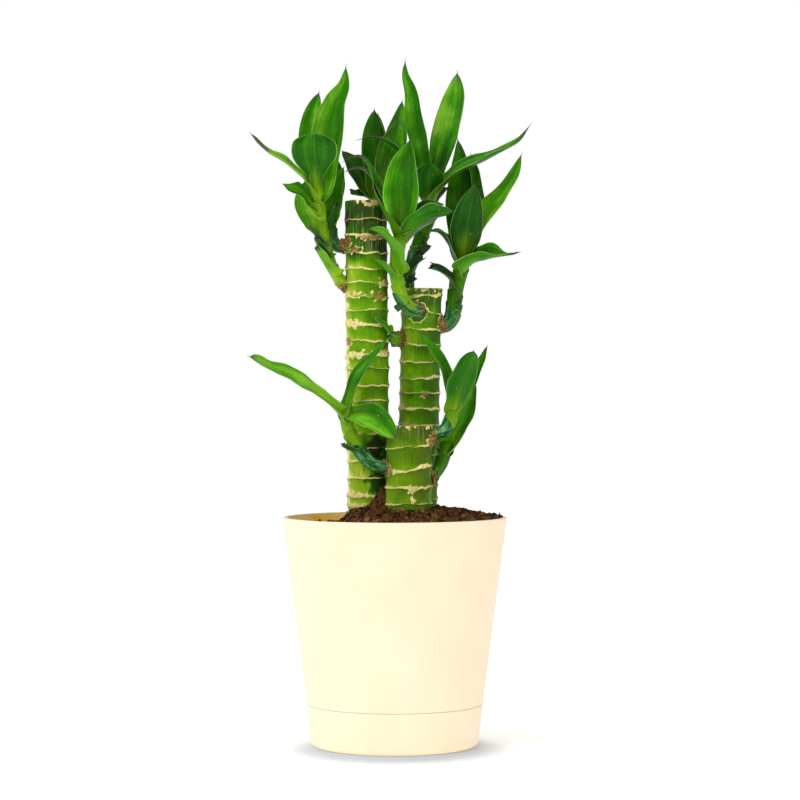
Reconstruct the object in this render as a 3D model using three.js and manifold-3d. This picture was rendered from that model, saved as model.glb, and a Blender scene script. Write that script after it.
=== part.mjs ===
// Lucky bamboo in a cream pot: three cut canes of different heights stand in soil, leafy shoots
// grow from the sides of the canes, and the pot sits on a saucer that carries on its taper.
// Millimetres, +Z up, -Y is the front. The origin is the middle of the saucer's underside.
import * as THREE from "three";
import { mergeVertices } from "three/addons/utils/BufferGeometryUtils.js";
import Module from "manifold-3d";

const wasm = await Module();
wasm.setup();

// Driving dimensions
const GAP = 0.3;
const POT = { rimRadius: 65, height: 132.5, wall: 2.4, lip: 0.8, sides: 44 };
const SEAM = { height: 24.4, radius: 51.1, step: 2.6 };
const POT_FLOOR = { under: 8, thickness: 2.6, radius: 46, round: 1.5 };
const DRAIN = { count: 5, radius: 3, ring: 28, depth: 20, sides: 10 };
const SAUCER = { footRadius: 48.7, round: 3, wall: 2.2, floor: 2.5 };
const SOIL = {
  low: 126.5, heap: 10.5, slopeFrom: -52, slopeTo: -24, rimFrom: 25, rimTo: 62, rimDrop: 0.45,
  ridge: 11.5, ridgeX: -8, ridgeY: 3, ridgeSize: 8, crumb: 0.5, rings: 8, sides: 32,
};
const SCAR = { height: 0.5, width: 1.1, bevel: 0.8 };
const CANE_SIDES = 14;
const BLADE = { thickness: 0.8, steps: 6, smallSteps: 4, tip: 0.5, fullness: 2.1 };
const CLASP = { width: 8.5, fold: 50, neck: 0.08, end: 0.42 };
const STEM = { sides: 7, along: 7 };

// Canes: foot and top of the middle line, radius, and the heights of the raised leaf scars
const CANES = {
  cane_tall: {
    foot: [-14.2, 2, 62], top: [-16.9, 2, 316], radius: 12.3,
    scars: [139, 145, 155, 165, 172, 181, 191, 200, 209, 219, 226, 234.5, 243.5, 252, 260, 268,
      276, 285.5, 295, 304.5],
  },
  cane_middle: {
    foot: [11.2, 12, 62], top: [15.8, 12, 265.5], radius: 11.4,
    scars: [142, 151, 160, 168, 177, 186, 195, 204.5, 213.5, 222.5, 232, 241, 250, 260.5],
  },
  cane_short: {
    foot: [7.4, -14, 62], top: [8.3, -14, 186], radius: 12.9,
    scars: [141, 150.5, 161, 174],
  },
};

// Shoots: the stem's route with its radius at even steps, and its leaves. A leaf has the route of
// its midrib from inside the stem to the tip, the flat width of its blade, the part of its length
// where it is widest, the way its upper side faces and the angle that each half rises by.
const SHOOTS = {
  shoot_tall_left: {
    cane: "cane_tall",
    stem: { route: [[-27, 2, 267], [-32, 0, 270], [-36, -1, 277], [-39, -2, 284], [-42, -3, 293],
      [-43.5, -3, 302], [-45, -3, 316]], radius: [4.6, 3.4, 3.6, 4, 4.4, 4.6, 4] },
    leaves: [
      { route: [[-45, -3, 313], [-41.5, -5, 340], [-39, -6, 359], [-35, -6, 372], [-30, -5, 382],
        [-28, -3, 395]], width: 18, widest: 0.44, face: [0.35, -1, 0.1], fold: 18 },
      { route: [[-45, 0, 314], [-48.5, 7, 340], [-49, 12, 357], [-47.5, 15, 370], [-44, 17, 382]],
        width: 14, widest: 0.55, face: [0.1, -1, 0], fold: 15 },
      { route: [[-45, -4, 314], [-45.5, -9, 327], [-46, -15, 337], [-46, -22, 345],
        [-45, -29, 351]], width: 24.5, widest: 0.66, face: [0, 0.8, 1], fold: 12 },
      { route: [[-45, -4, 313], [-51, -9, 326], [-57, -11, 332], [-63, -14, 337], [-72, -18, 342],
        [-78, -21, 347], [-83, -24, 353.5]], width: 10, widest: 0.45, face: [0.2, -0.5, 1],
        fold: 25, base: 8 },
      { route: [[-44, -4, 306], [-52, -9, 317], [-59, -12, 321], [-65, -13, 325]], width: 12,
        widest: 0.5, face: [0.3, -0.7, 1], fold: 20, base: 8 },
      { route: [[-43, 0, 295], [-52, 6, 305], [-56, 11, 315], [-53, 15, 330]], width: 11,
        widest: 0.5, face: [0.3, -1, 0.1], fold: 15, base: 8 },
      { route: [[-35, -2, 271], [-40.5, -6, 279], [-47, -8, 289]], width: 8, widest: 0.35,
        face: [1, 0.3, 0.6], fold: 40, base: 9, small: true },
      { route: [[-38, -3, 282], [-43, -7, 289], [-47, -9, 294]], width: 6, widest: 0.4,
        face: [1, 0.3, 0.6], fold: 30, base: 8, small: true },
      { route: [[-40, -4, 288], [-46, -8, 295], [-50, -9, 301]], width: 6, widest: 0.4,
        face: [1, 0.3, 0.6], fold: 30, base: 8, small: true },
    ],
  },
  shoot_tall_side: {
    cane: "cane_tall",
    stem: { route: [[-27, 4, 290], [-33, 7, 290], [-36.5, 8.5, 294], [-37, 9, 302],
      [-37, 9, 311]], radius: [4.2, 3.8, 3.6, 3, 2.8] },
    leaves: [
      { route: [[-37, 8, 303], [-35.5, 7, 314], [-32.5, 6, 324], [-29, 6, 336]], width: 16,
        widest: 0.5, face: [-0.7, 0.6, 0.5], fold: 22 },
      { route: [[-38, 10, 307], [-37, 12, 323], [-33, 12, 341]], width: 14, widest: 0.5,
        face: [0.2, -1, 0.2], fold: 15 },
      { route: [[-36.5, 7, 293], [-34.5, 4.5, 304], [-30.5, 4, 315]], width: 9, widest: 0.5,
        face: [-0.8, 0.5, 0.3], fold: 30, base: 8, small: true },
    ],
  },
  shoot_tall_back: {
    cane: "cane_tall",
    stem: { route: [[-14, 13, 302], [-12, 18.5, 306], [-10.5, 21.5, 312], [-10, 21, 321]],
      radius: [4.6, 4, 4.2, 3.8] },
    leaves: [
      { route: [[-11, 21, 316], [-11.5, 22.5, 330], [-12, 23, 347], [-12.5, 22, 360],
        [-12, 20, 372]], width: 14.5, widest: 0.55, face: [0, -1, 0.1], fold: 14 },
      { route: [[-10, 23, 317], [-9, 32, 342], [-10, 36, 371]], width: 12, widest: 0.5,
        face: [0.3, -1, 0], fold: 15 },
      { route: [[-9, 20, 317], [-6, 19, 329], [-2, 18, 347], [1, 17, 357], [2.5, 16, 366]],
        width: 17, widest: 0.55, face: [0.3, -1, 0.1], fold: 16 },
      { route: [[-8, 23, 318], [-3, 30, 339], [2, 36, 360], [4.5, 38, 379]], width: 14, widest: 0.5,
        face: [-0.3, -1, 0.1], fold: 16 },
      { route: [[-12, 20, 316], [-18, 23, 327], [-24, 27, 338], [-32, 30, 348]], width: 14,
        widest: 0.5, face: [0.5, -1, 0.3], fold: 18, base: 8 },
      { route: [[-12, 20, 317], [-19, 18, 320], [-27, 16, 321]], width: 8, widest: 0.5,
        face: [0, -0.6, 1], fold: 25, base: 6, small: true },
    ],
  },
  shoot_middle_front: {
    cane: "cane_middle",
    stem: { route: [[12.5, 1.5, 252], [9, -4, 253], [6, -6.5, 256], [3, -7.5, 262],
      [1.2, -8.5, 270], [1, -9, 279], [2, -9.5, 288], [3, -10, 297]],
      radius: [5, 4.4, 4.2, 4, 4, 4.2, 4.2, 3.6] },
    leaves: [
      { route: [[3, -10, 291], [3.5, -14, 307], [4, -18, 324], [6, -20, 338], [9, -21, 350.5]],
        width: 20, widest: 0.5, face: [-0.1, -1, 0.35], fold: 14 },
      { route: [[2, -9, 293], [-4, -9, 304], [-9, -8, 314], [-12.5, -6, 326], [-15.5, -4, 335],
        [-19, -3, 340], [-25, -2, 340.5], [-31, -1, 338]], width: 9, widest: 0.35,
        face: [0.8, -0.3, 0.5], faceTip: [0.3, -0.4, 1], fold: 35, base: 9 },
      { route: [[2, -9, 293], [-3.5, -10, 304], [-8, -8.5, 317], [-12, -2.5, 327], [-17, 0, 333],
        [-23, 1, 334.5], [-30, -1, 332]], width: 7, widest: 0.5, face: [0.8, -0.3, 0.5],
        faceTip: [0.2, -0.3, 1], fold: 25, base: 7 },
      { route: [[1, -10, 272], [-1, -14, 283], [-5, -16, 292], [-10, -17, 297],
        [-15.5, -17, 298.5]], width: 17, widest: 0.5, face: [0.8, 0.4, 0.5],
        faceTip: [0.1, -0.3, 1], fold: 30, base: 10 },
      { route: [[2, -9, 265], [-3, -13, 273], [-7.5, -14, 278], [-12, -15, 281.5]], width: 7,
        widest: 0.5, face: [0.8, 0.2, 0.6], fold: 35, base: 9 },
      { route: [[4, -9.5, 294], [11, -11.5, 304], [20, -13, 310], [29, -14, 313]], width: 15,
        widest: 0.5, face: [-0.4, -0.8, 0.8], fold: 15, base: 8 },
      { route: [[3, -10, 288], [11, -16, 299], [21, -22, 305], [34, -26, 308.5]], width: 17,
        widest: 0.55, face: [-0.2, 0.6, 1], fold: 20, base: 9 },
      { route: [[6.5, -8, 257], [3, -11, 254], [0, -11, 252]], width: 4, widest: 0.5,
        face: [0, -1, 0.5], fold: 20, base: 5, small: true },
    ],
  },
  shoot_middle_back: {
    cane: "cane_middle",
    stem: { route: [[12, 20, 254], [8.5, 24.5, 260], [7.5, 25, 268], [8.5, 24, 276],
      [11.5, 22, 285], [16, 20.5, 297], [20, 19.5, 309], [21.5, 19, 319]],
      radius: [5, 4, 3.6, 3.8, 4.4, 4.4, 4.4, 3.8] },
    leaves: [
      { route: [[21, 19, 313], [18, 22, 335], [14.5, 23, 353], [12, 24, 366], [9.5, 24, 382],
        [6.5, 23, 391], [6, 22, 401.5]], width: 11, widest: 0.5, face: [-0.5, -1, 0], fold: 18,
        base: 8 },
      { route: [[21, 21, 314], [26, 26, 340], [31, 30, 360], [34, 33, 373], [36.5, 34, 384],
        [37, 34, 396]], width: 16, widest: 0.6, face: [-0.3, -1, 0.1], fold: 18, base: 8 },
      { route: [[21, 17, 312], [20, 12, 323], [19.5, 7, 331], [21, 1, 338]], width: 17,
        widest: 0.6, face: [0, 0.8, 1], fold: 14 },
      { route: [[22, 18, 312], [26, 15, 319], [31.5, 12, 325]], width: 8, widest: 0.5,
        face: [-0.3, 0.3, 1], fold: 25, base: 6, small: true },
      { route: [[21, 18, 311], [26, 14, 322], [34, 10, 330], [43, 7, 336], [53, 3, 340],
        [62, 0, 344], [72, -3, 350.5], [79, -6, 360.5]], width: 14, widest: 0.4,
        face: [-0.3, -0.5, 1], fold: 28, base: 9 },
      { route: [[20, 17, 311], [14, 14, 330], [4, 10, 343], [-5, 7, 350], [-14, 4, 352.5],
        [-23, 2, 351]], width: 7, widest: 0.5, face: [0.4, 0.1, 1], fold: 20, base: 7 },
      { route: [[9, 23, 274], [13, 18, 280], [18, 15, 284]], width: 8, widest: 0.4,
        face: [-0.6, 0.7, 0.5], fold: 35, base: 8, small: true },
      { route: [[12, 22, 282], [17, 17, 286], [21, 15, 291]], width: 8, widest: 0.4,
        face: [-0.6, 0.7, 0.5], fold: 35, base: 8, small: true },
      { route: [[8, 25, 262], [9, 22, 268], [13, 20.5, 272]], width: 8, widest: 0.4,
        face: [-0.6, 0.7, 0.5], fold: 30, base: 9, small: true },
    ],
  },
  shoot_middle_right: {
    cane: "cane_middle",
    stem: { route: [[25, 12, 244], [31, 12, 245.5], [34, 12, 251], [35, 11.5, 260],
      [36.5, 11, 269], [38.5, 10, 277], [39.5, 10, 285]],
      radius: [5.2, 4.8, 4.8, 4.6, 4.6, 4.4, 3.8] },
    leaves: [
      { route: [[39, 11, 277], [38, 15, 303], [38.5, 18, 326], [38.5, 19, 342], [36.5, 18, 355]],
        width: 13.5, widest: 0.5, face: [-0.2, -1, 0.1], fold: 20 },
      { route: [[40, 11, 279], [45.5, 22, 309], [47.5, 28, 327], [46, 32, 347]], width: 14,
        widest: 0.5, face: [0.2, -1, 0.1], fold: 16 },
      { route: [[39, 9, 276], [41, 3, 292], [43, -2, 308], [45, -4, 318], [46.5, -5, 326.5]],
        width: 18, widest: 0.5, face: [-0.1, 1, 0.25], fold: 12 },
      { route: [[40, 10, 278], [46.5, 10, 297], [55, 10, 311], [62, 9, 319], [68, 7, 328],
        [71.5, 5, 336], [74, 3, 344.5]], width: 12, widest: 0.5, face: [-0.4, -1, 0.5], fold: 24 },
      { route: [[39, 9, 273], [46, 4, 280], [54, 0, 282.5], [63, -4, 283], [73, -8, 286]],
        width: 19, widest: 0.34, face: [-0.1, -0.35, 1], fold: 44, base: 10 },
      { route: [[37, 9, 271], [35, 5, 282], [31, 3, 291.5], [25.5, 1, 297.5], [19, 0, 298]],
        width: 8, widest: 0.45, face: [0.8, -0.2, 0.6], faceTip: [0.2, -0.3, 1], fold: 30,
        base: 9 },
      { route: [[36, 9.5, 261], [32, 5, 270], [26, 4, 275], [18, 3, 277.5]], width: 7,
        widest: 0.5, face: [0.7, -0.2, 0.7], fold: 30, base: 8, small: true },
      { route: [[34, 11, 250], [38, 8, 254], [38, 7, 258]], width: 6, widest: 0.4,
        face: [-0.8, 0.6, 0.4], fold: 30, base: 9, small: true },
    ],
  },
  shoot_middle_left: {
    cane: "cane_middle",
    stem: { route: [[6, 10, 235.5], [1.5, 7.5, 235.5], [0, 2, 236], [-2, -2, 238]],
      radius: [4.6, 4.2, 3.4, 2.4] },
    leaves: [
      { route: [[-1, 0, 236.5], [-5, -8, 240], [-9, -13.5, 245], [-13.5, -15.5, 249]], width: 8,
        widest: 0.4, face: [0.6, -0.5, 0.8], fold: 25, base: 7 },
    ],
  },
  shoot_short_left: {
    cane: "cane_short",
    stem: { route: [[-3, -16, 162], [-8, -18, 162], [-13, -20, 164], [-18, -21, 168.5],
      [-22.5, -21, 175], [-26, -21, 182], [-28, -21, 190.5]],
      radius: [4, 3.6, 4, 4.2, 4.2, 4, 3.6] },
    leaves: [
      { route: [[-27, -21, 184], [-32, -22, 193], [-40, -23, 201], [-53, -26, 209.5],
        [-68, -30, 217], [-84, -34, 226]], width: 14, widest: 0.5, face: [0.3, -0.55, 1],
        fold: 20 },
      { route: [[-27, -21, 186], [-24.5, -21, 202], [-19, -22, 215], [-11, -23, 226],
        [-3, -24, 237]], width: 11, widest: 0.45, face: [-0.9, -0.7, 0.5], fold: 28 },
      { route: [[-27, -22, 184], [-21, -27, 191], [-12, -32, 192.5], [-3, -35, 187],
        [4.5, -37, 178]], width: 15, widest: 0.5, face: [0.3, -0.9, 0.7], fold: 12 },
      { route: [[-22, -22, 171], [-26, -25, 172], [-31, -26, 175]], width: 7, widest: 0.4,
        face: [0.7, 0.2, 0.8], fold: 35, base: 9, small: true },
    ],
  },
  shoot_short_right: {
    cane: "cane_short",
    stem: { route: [[19, -14, 178.5], [24.5, -14, 181], [29, -14, 183.5], [32, -14.5, 188],
      [33, -15, 195]], radius: [4.4, 3.8, 4, 4, 3.6] },
    leaves: [
      { route: [[33, -15, 188], [35.5, -19, 200], [40, -21, 214], [43, -22, 221],
        [45.5, -22, 229.5]], width: 15, widest: 0.55, face: [-0.3, 1, 0.2], fold: 14 },
      { route: [[32.5, -14, 189], [31.5, -12, 203], [28, -9, 218], [21.5, -7, 230],
        [13, -6, 240.5]], width: 8, widest: 0.5, face: [0.5, -0.8, 0.5], fold: 30 },
      { route: [[33.5, -13, 190], [42, -8, 205], [48.5, -4, 218], [54, 0, 232.5]], width: 8,
        widest: 0.5, face: [-0.6, -0.8, 0.4], fold: 25 },
    ],
  },
  shoot_short_low: {
    cane: "cane_short",
    stem: { route: [[19, -10.5, 155.5], [23.5, -7, 158], [26.5, -5, 163], [28.5, -4, 169],
      [31, -4, 176]], radius: [4.2, 3.6, 3.8, 3.8, 3.4] },
    leaves: [
      { route: [[29.5, -4, 168], [36.5, -2, 184], [42.5, 1, 196], [47.5, 5, 210.5]], width: 15,
        widest: 0.45, face: [-0.5, -1, 0.3], fold: 24 },
      { route: [[28.5, -4, 166], [29, 0, 180], [33, 2, 191]], width: 10, widest: 0.45,
        face: [0.2, -1, 0.3], fold: 30, small: true },
    ],
  },
};

const COLOURS = {
  cream: 0xf6ecd0, soil: 0x3b2016, bark: 0x6d9b33, leaf: 0x3f9423, darkLeaf: 0x26702a,
};

// Materials
function finish(colour, roughness) {
  return new THREE.MeshStandardMaterial({ color: colour, roughness, metalness: 0 });
}

const mouldedPlastic = finish(COLOURS.cream, 0.42);
const pottingSoil = finish(COLOURS.soil, 0.95);
const caneSkin = finish(COLOURS.bark, 0.5);
const brightLeaf = finish(COLOURS.leaf, 0.4);
const darkLeaf = finish(COLOURS.darkLeaf, 0.4);

// Small tools
function smooth(from, to, value) {
  return THREE.MathUtils.smoothstep(value, from, to);
}

function solid(geometry) {
  const bare = geometry.clone();
  bare.deleteAttribute("normal");
  bare.deleteAttribute("uv");
  const merged = mergeVertices(bare, 1e-4);
  return new wasm.Manifold(new wasm.Mesh({
    numProp: 3,
    vertProperties: new Float32Array(merged.attributes.position.array),
    triVerts: new Uint32Array(merged.index.array),
  }));
}

// Fusing can seal a small hollow between leaf bases or leave a loose scrap: only the outer body stays
function outerBody(body) {
  const pieces = body.decompose();
  return pieces.reduce((best, piece) => (piece.volume() > best.volume() ? piece : best));
}

function geometryOf(body) {
  const mesh = outerBody(body).getMesh();
  const geometry = new THREE.BufferGeometry();
  geometry.setAttribute("position", new THREE.BufferAttribute(mesh.vertProperties, mesh.numProp));
  geometry.setIndex(new THREE.BufferAttribute(mesh.triVerts, 1));
  geometry.computeVertexNormals();
  return geometry;
}

function node(name, geometry, material) {
  const mesh = new THREE.Mesh(geometry, material);
  mesh.name = name;
  return mesh;
}

// A profile of [radius, height] points turned round the vertical axis
function turned(profile, sides) {
  const points = profile.map(([radius, height]) => new THREE.Vector2(radius, height));
  return new THREE.LatheGeometry(points, sides).rotateX(Math.PI / 2);
}

function arc(radius, height, round, fromDegrees, toDegrees, steps) {
  return Array.from({ length: steps + 1 }, (_, step) => {
    const angle = THREE.MathUtils.degToRad(fromDegrees + ((toDegrees - fromDegrees) * step) / steps);
    return [radius + round * Math.cos(angle), height + round * Math.sin(angle)];
  });
}

function moved(geometry, formula) {
  const place = geometry.attributes.position;
  const point = new THREE.Vector3();
  for (let index = 0; index < place.count; index += 1) {
    point.fromBufferAttribute(place, index);
    formula(point);
    place.setXYZ(index, point.x, point.y, point.z);
  }
  return geometry;
}

// Pot: a tapered shell with a plain lip. Below the seam it steps in and stands inside the saucer.
const taper = (POT.rimRadius - SEAM.radius) / (POT.height - SEAM.height);

function innerRadius(height) {
  return SEAM.radius + taper * (height - SEAM.height) - POT.wall;
}

// The pot's inside from its rim down to its floor, drawn in by a gap for what fills it
function potInside(gap = 0) {
  const shoulder = SEAM.height + 6;
  const foot = POT_FLOOR.radius - POT.wall - gap;
  const floor = POT_FLOOR.under + POT_FLOOR.thickness + gap;
  return [
    [innerRadius(shoulder) - gap, shoulder],
    [foot, SEAM.height - 2],
    [foot - 1, floor],
    [0, floor],
  ];
}

function potGeometry() {
  const lipMiddle = POT.height - POT.lip;
  const shell = turned([
    [0, POT_FLOOR.under],
    [POT_FLOOR.radius - POT_FLOOR.round, POT_FLOOR.under],
    [POT_FLOOR.radius, POT_FLOOR.under + POT_FLOOR.round],
    [SEAM.radius - SEAM.step, SEAM.height],
    [SEAM.radius, SEAM.height],
    ...arc(POT.rimRadius - POT.lip, lipMiddle, POT.lip, 0, 90, 2),
    ...arc(POT.rimRadius - POT.wall + POT.lip, lipMiddle, POT.lip, 90, 180, 2),
    ...potInside(),
  ], POT.sides);
  let pot = solid(shell);
  for (let hole = 0; hole < DRAIN.count; hole += 1) {
    const angle = (2 * Math.PI * hole) / DRAIN.count;
    const drain = new THREE.CylinderGeometry(DRAIN.radius, DRAIN.radius, DRAIN.depth, DRAIN.sides)
      .rotateX(Math.PI / 2)
      .translate(DRAIN.ring * Math.cos(angle), DRAIN.ring * Math.sin(angle), POT_FLOOR.under);
    pot = pot.subtract(solid(drain));
  }
  return geometryOf(pot);
}

// Saucer: carries the pot's taper down to a rounded foot. The pot's ledge rests on its edge.
function saucerGeometry() {
  const top = SEAM.height - GAP;
  const foot = SAUCER.footRadius - SAUCER.round;
  return turned([
    [0, 0],
    ...arc(foot, SAUCER.round, SAUCER.round, -90, 0, 3),
    [SEAM.radius, top],
    [SEAM.radius - SAUCER.wall, top],
    [SAUCER.footRadius - SAUCER.wall, SAUCER.floor + SAUCER.round],
    [SAUCER.footRadius - SAUCER.wall - SAUCER.round, SAUCER.floor],
    [0, SAUCER.floor],
  ], POT.sides);
}

// Soil: low on the left, heaped on the right and up between the canes, with a plain hole for each
function soilHeight(x, y) {
  const nearRim = smooth(SOIL.rimFrom, SOIL.rimTo, Math.hypot(x, y));
  const heap = smooth(SOIL.slopeFrom, SOIL.slopeTo, x) * (1 - SOIL.rimDrop * nearRim);
  const apart = Math.hypot(x - SOIL.ridgeX, y - SOIL.ridgeY) / SOIL.ridgeSize;
  const crumbs = Math.sin(x * 0.83 + 1.7 * Math.sin(y * 0.61)) * Math.cos(y * 0.97 + x * 0.31);
  return SOIL.low + SOIL.heap * heap + SOIL.ridge * Math.exp(-(apart ** 2)) + SOIL.crumb * crumbs;
}

function soilGeometry() {
  const edge = innerRadius(SOIL.low) - GAP;
  const top = Array.from({ length: SOIL.rings }, (_, ring) => {
    return [(edge * (SOIL.rings - ring)) / SOIL.rings, SOIL.low];
  });
  const heap = moved(turned([
    ...potInside(GAP).reverse(),
    ...top,
    [0, SOIL.low],
  ], SOIL.sides), (point) => {
    if (point.z > SOIL.low - 1) {
      point.z = soilHeight(point.x, point.y);
    }
  });
  let soil = solid(heap);
  for (const cane of Object.values(CANES)) {
    soil = soil.subtract(solid(caneGeometry(cane, GAP)));
  }
  return geometryOf(soil);
}

// Cane: a leaning rod with a raised leaf scar at each node and a cut top with a worn edge
function caneGeometry({ foot, top, radius, scars }, grow = 0) {
  const r = radius + grow;
  const rings = scars.flatMap((height) => [
    [r, height - SCAR.width],
    [r + SCAR.height, height],
    [r, height + SCAR.width],
  ]);
  const rod = turned([
    [0, foot[2] - grow],
    [r, foot[2] - grow],
    ...rings,
    [r, top[2] - SCAR.bevel + grow],
    [r - SCAR.bevel, top[2] + grow],
    [0, top[2] + grow],
  ], CANE_SIDES);
  return moved(rod, (point) => {
    const share = (point.z - foot[2]) / (top[2] - foot[2]);
    point.x += foot[0] + (top[0] - foot[0]) * share;
    point.y += foot[1] + (top[1] - foot[1]) * share;
  });
}

// Places a straight form along a route. The form's Y runs from -0.5 to 0.5 along it, its X lies
// across the side and its Z along the way that it faces.
function alongRoute(geometry, route, face, faceTip, section) {
  const curve = new THREE.CatmullRomCurve3(
    route.map((point) => new THREE.Vector3(...point)), false, "centripetal");
  const start = new THREE.Vector3(...face);
  const end = new THREE.Vector3(...faceTip);
  return moved(geometry, (point) => {
    const part = THREE.MathUtils.clamp(point.y + 0.5, 0, 1);
    const ahead = curve.getTangentAt(part);
    const side = ahead.clone().cross(start.clone().lerp(end, part)).normalize();
    const up = side.clone().cross(ahead);
    const [across, lift] = section(part, point.x, point.z);
    point.copy(curve.getPointAt(part)).addScaledVector(side, across).addScaledVector(up, lift);
  });
}

// The two faces of a blade are split into triangles the same way, so that they never cross
function splitAlike(box) {
  const index = box.index;
  const back = box.groups[5];
  for (let at = back.start; at < back.start + back.count; at += 6) {
    const [a, b, d] = [index.getX(at), index.getX(at + 1), index.getX(at + 2)];
    const c = index.getX(at + 4);
    [a, b, c, a, c, d].forEach((vertex, corner) => index.setX(at + corner, vertex));
  }
  return box;
}

// Leaf blade: a flat box folded along its midrib and bent to the route. Its half width is a
// clasping base that fades out, plus a lance shape raised to a fullness:
// (part / widest) ^ widest * ((1 - part) / (1 - widest)) ^ (1 - widest)
function bladeGeometry(leaf) {
  const { route, width, widest, face, fold, faceTip = face, base = CLASP.width, small } = leaf;
  const steps = small ? BLADE.smallSteps : BLADE.steps;
  const box = splitAlike(new THREE.BoxGeometry(2, 1, 1, 2, steps, 1));
  return alongRoute(box, route, face, faceTip, (part, across, thick) => {
    const clasp = smooth(-CLASP.neck, CLASP.neck, part) * (1 - smooth(CLASP.neck, CLASP.end, part));
    const lance = (part / widest) ** widest * ((1 - part) / (1 - widest)) ** (1 - widest);
    const half = (width * lance ** BLADE.fullness + base * clasp + BLADE.tip) / 2;
    const opened = smooth(0, CLASP.end, part);
    const bend = THREE.MathUtils.degToRad(THREE.MathUtils.lerp(CLASP.fold, fold, opened));
    const lift = thick * BLADE.thickness;
    if (across === 0) {
      return [0, lift / Math.cos(bend)];
    }
    return [
      Math.sign(across) * (half * Math.cos(bend) - lift * Math.sin(bend)),
      half * Math.sin(bend) + lift * Math.cos(bend),
    ];
  });
}

// Shoot stem: a round rod along its route, thicker or thinner by its list of radii
function stemGeometry({ route, radius }) {
  const rod = new THREE.CylinderGeometry(1, 1, 1, STEM.sides, STEM.along);
  return alongRoute(rod, route, [0, -1, 0.01], [0, -1, 0.01], (part, across, facing) => {
    const step = part * (radius.length - 1);
    const low = Math.min(Math.floor(step), radius.length - 2);
    const here = THREE.MathUtils.lerp(radius[low], radius[low + 1], step - low);
    return [across * here, facing * here];
  });
}

function shootGeometry({ cane, stem, leaves }) {
  let shoot = solid(stemGeometry(stem));
  for (const leaf of leaves) {
    shoot = shoot.add(solid(bladeGeometry(leaf)));
  }
  return geometryOf(shoot.subtract(solid(caneGeometry(CANES[cane], GAP))));
}

// The whole plant with its pot
const luckyBamboo = new THREE.Group();
luckyBamboo.add(node("saucer", saucerGeometry(), mouldedPlastic));
luckyBamboo.add(node("pot", potGeometry(), mouldedPlastic));
luckyBamboo.add(node("soil", soilGeometry(), pottingSoil));
for (const [name, cane] of Object.entries(CANES)) {
  luckyBamboo.add(node(name, caneGeometry(cane), caneSkin));
}
const darkShoots = ["shoot_tall_side", "shoot_tall_back", "shoot_middle_back", "shoot_short_low"];
for (const [name, shoot] of Object.entries(SHOOTS)) {
  luckyBamboo.add(node(name, shootGeometry(shoot), darkShoots.includes(name) ? darkLeaf : brightLeaf));
}

export default luckyBamboo;
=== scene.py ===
# %% [markdown]
# # Lucky bamboo in a cream pot
# Three cut canes of a dragon plant stand in coconut fibre soil and carry leafy shoots. The pot sits
# on a saucer that carries on its taper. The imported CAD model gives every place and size, and this
# script dresses it: each piece is a surface worked out with numpy, put in the same spot as the
# solid that it stands for. Sizes are written in millimetres and become metres in one place.

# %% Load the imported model
from itertools import combinations

import bpy
import numpy as np
from mathutils import Euler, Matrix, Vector


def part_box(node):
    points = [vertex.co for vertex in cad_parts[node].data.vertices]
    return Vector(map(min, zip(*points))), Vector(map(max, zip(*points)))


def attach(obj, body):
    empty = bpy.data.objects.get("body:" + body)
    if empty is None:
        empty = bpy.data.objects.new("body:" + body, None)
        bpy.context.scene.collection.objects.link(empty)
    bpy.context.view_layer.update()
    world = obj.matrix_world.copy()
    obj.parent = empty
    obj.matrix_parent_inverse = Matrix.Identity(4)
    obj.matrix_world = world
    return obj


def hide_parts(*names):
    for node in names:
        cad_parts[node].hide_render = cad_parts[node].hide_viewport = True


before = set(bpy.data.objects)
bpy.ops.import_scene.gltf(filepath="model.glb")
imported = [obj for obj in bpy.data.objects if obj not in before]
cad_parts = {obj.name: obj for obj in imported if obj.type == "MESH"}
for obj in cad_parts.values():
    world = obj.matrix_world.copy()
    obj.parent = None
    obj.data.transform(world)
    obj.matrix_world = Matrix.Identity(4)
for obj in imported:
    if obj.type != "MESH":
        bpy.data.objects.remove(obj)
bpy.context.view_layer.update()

MM = 0.001
TINY = 1e-9
TAU = 2 * np.pi

# %% [markdown]
# ## Camera
# The photo looks almost level at the plant from a metre and a half away through a long lens, which
# is why the rim of the pot is such a thin ellipse. The ellipses of the rim, the seam and the foot
# gave the camera's height and the small tilt down.

# %% Place the camera
CAMERA = dict(place=(3, -1495, 213), down=0.489, lens=115.92, sensor=36, near=50)


def put_in_scene(name, data):
    """Makes an object of a mesh, a lamp or a camera and puts it into the scene."""
    item = bpy.data.objects.new(name, data)
    bpy.context.scene.collection.objects.link(item)
    return item


camera = put_in_scene("camera", bpy.data.cameras.new("camera"))
camera.data.lens = CAMERA["lens"]
camera.data.sensor_width = CAMERA["sensor"]
camera.data.clip_start = CAMERA["near"] * MM
camera.location = np.array(CAMERA["place"]) * MM
camera.rotation_euler = Euler(np.radians((90 - CAMERA["down"], 0, 0)))
bpy.context.scene.camera = camera
print("camera at", tuple(round(v, 3) for v in camera.location))

# %% [markdown]
# ## Small tools
# Colours are read off as sRGB hex values, but light adds up in linear values, so one function turns
# them. `smooth` is the soft step that fades one thing into another. `ripple` and `bumps` give
# living things their unevenness: both add up cosine waves with seeded random phases, so that the
# result is smooth, the same on each run, and on a circle meets itself.

# %% Colours and soft steps
def linear(code):
    """A hex colour in linear light. Each part is offset and raised to the power 2.4, or is divided
    by 12.92 near black."""
    parts = np.array([int(code[at:at + 2], 16) / 255 for at in (1, 3, 5)])
    curved = ((parts + 0.055) / 1.055) ** 2.4
    return (*np.where(parts <= 0.04045, parts / 12.92, curved).tolist(), 1.0)


def smooth(start, end, value):
    """0 before start and 1 after end. Between them it is 3 squares less 2 cubes of the share."""
    share = np.clip((value - start) / (end - start), 0, 1)
    return share * share * (3 - 2 * share)


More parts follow.
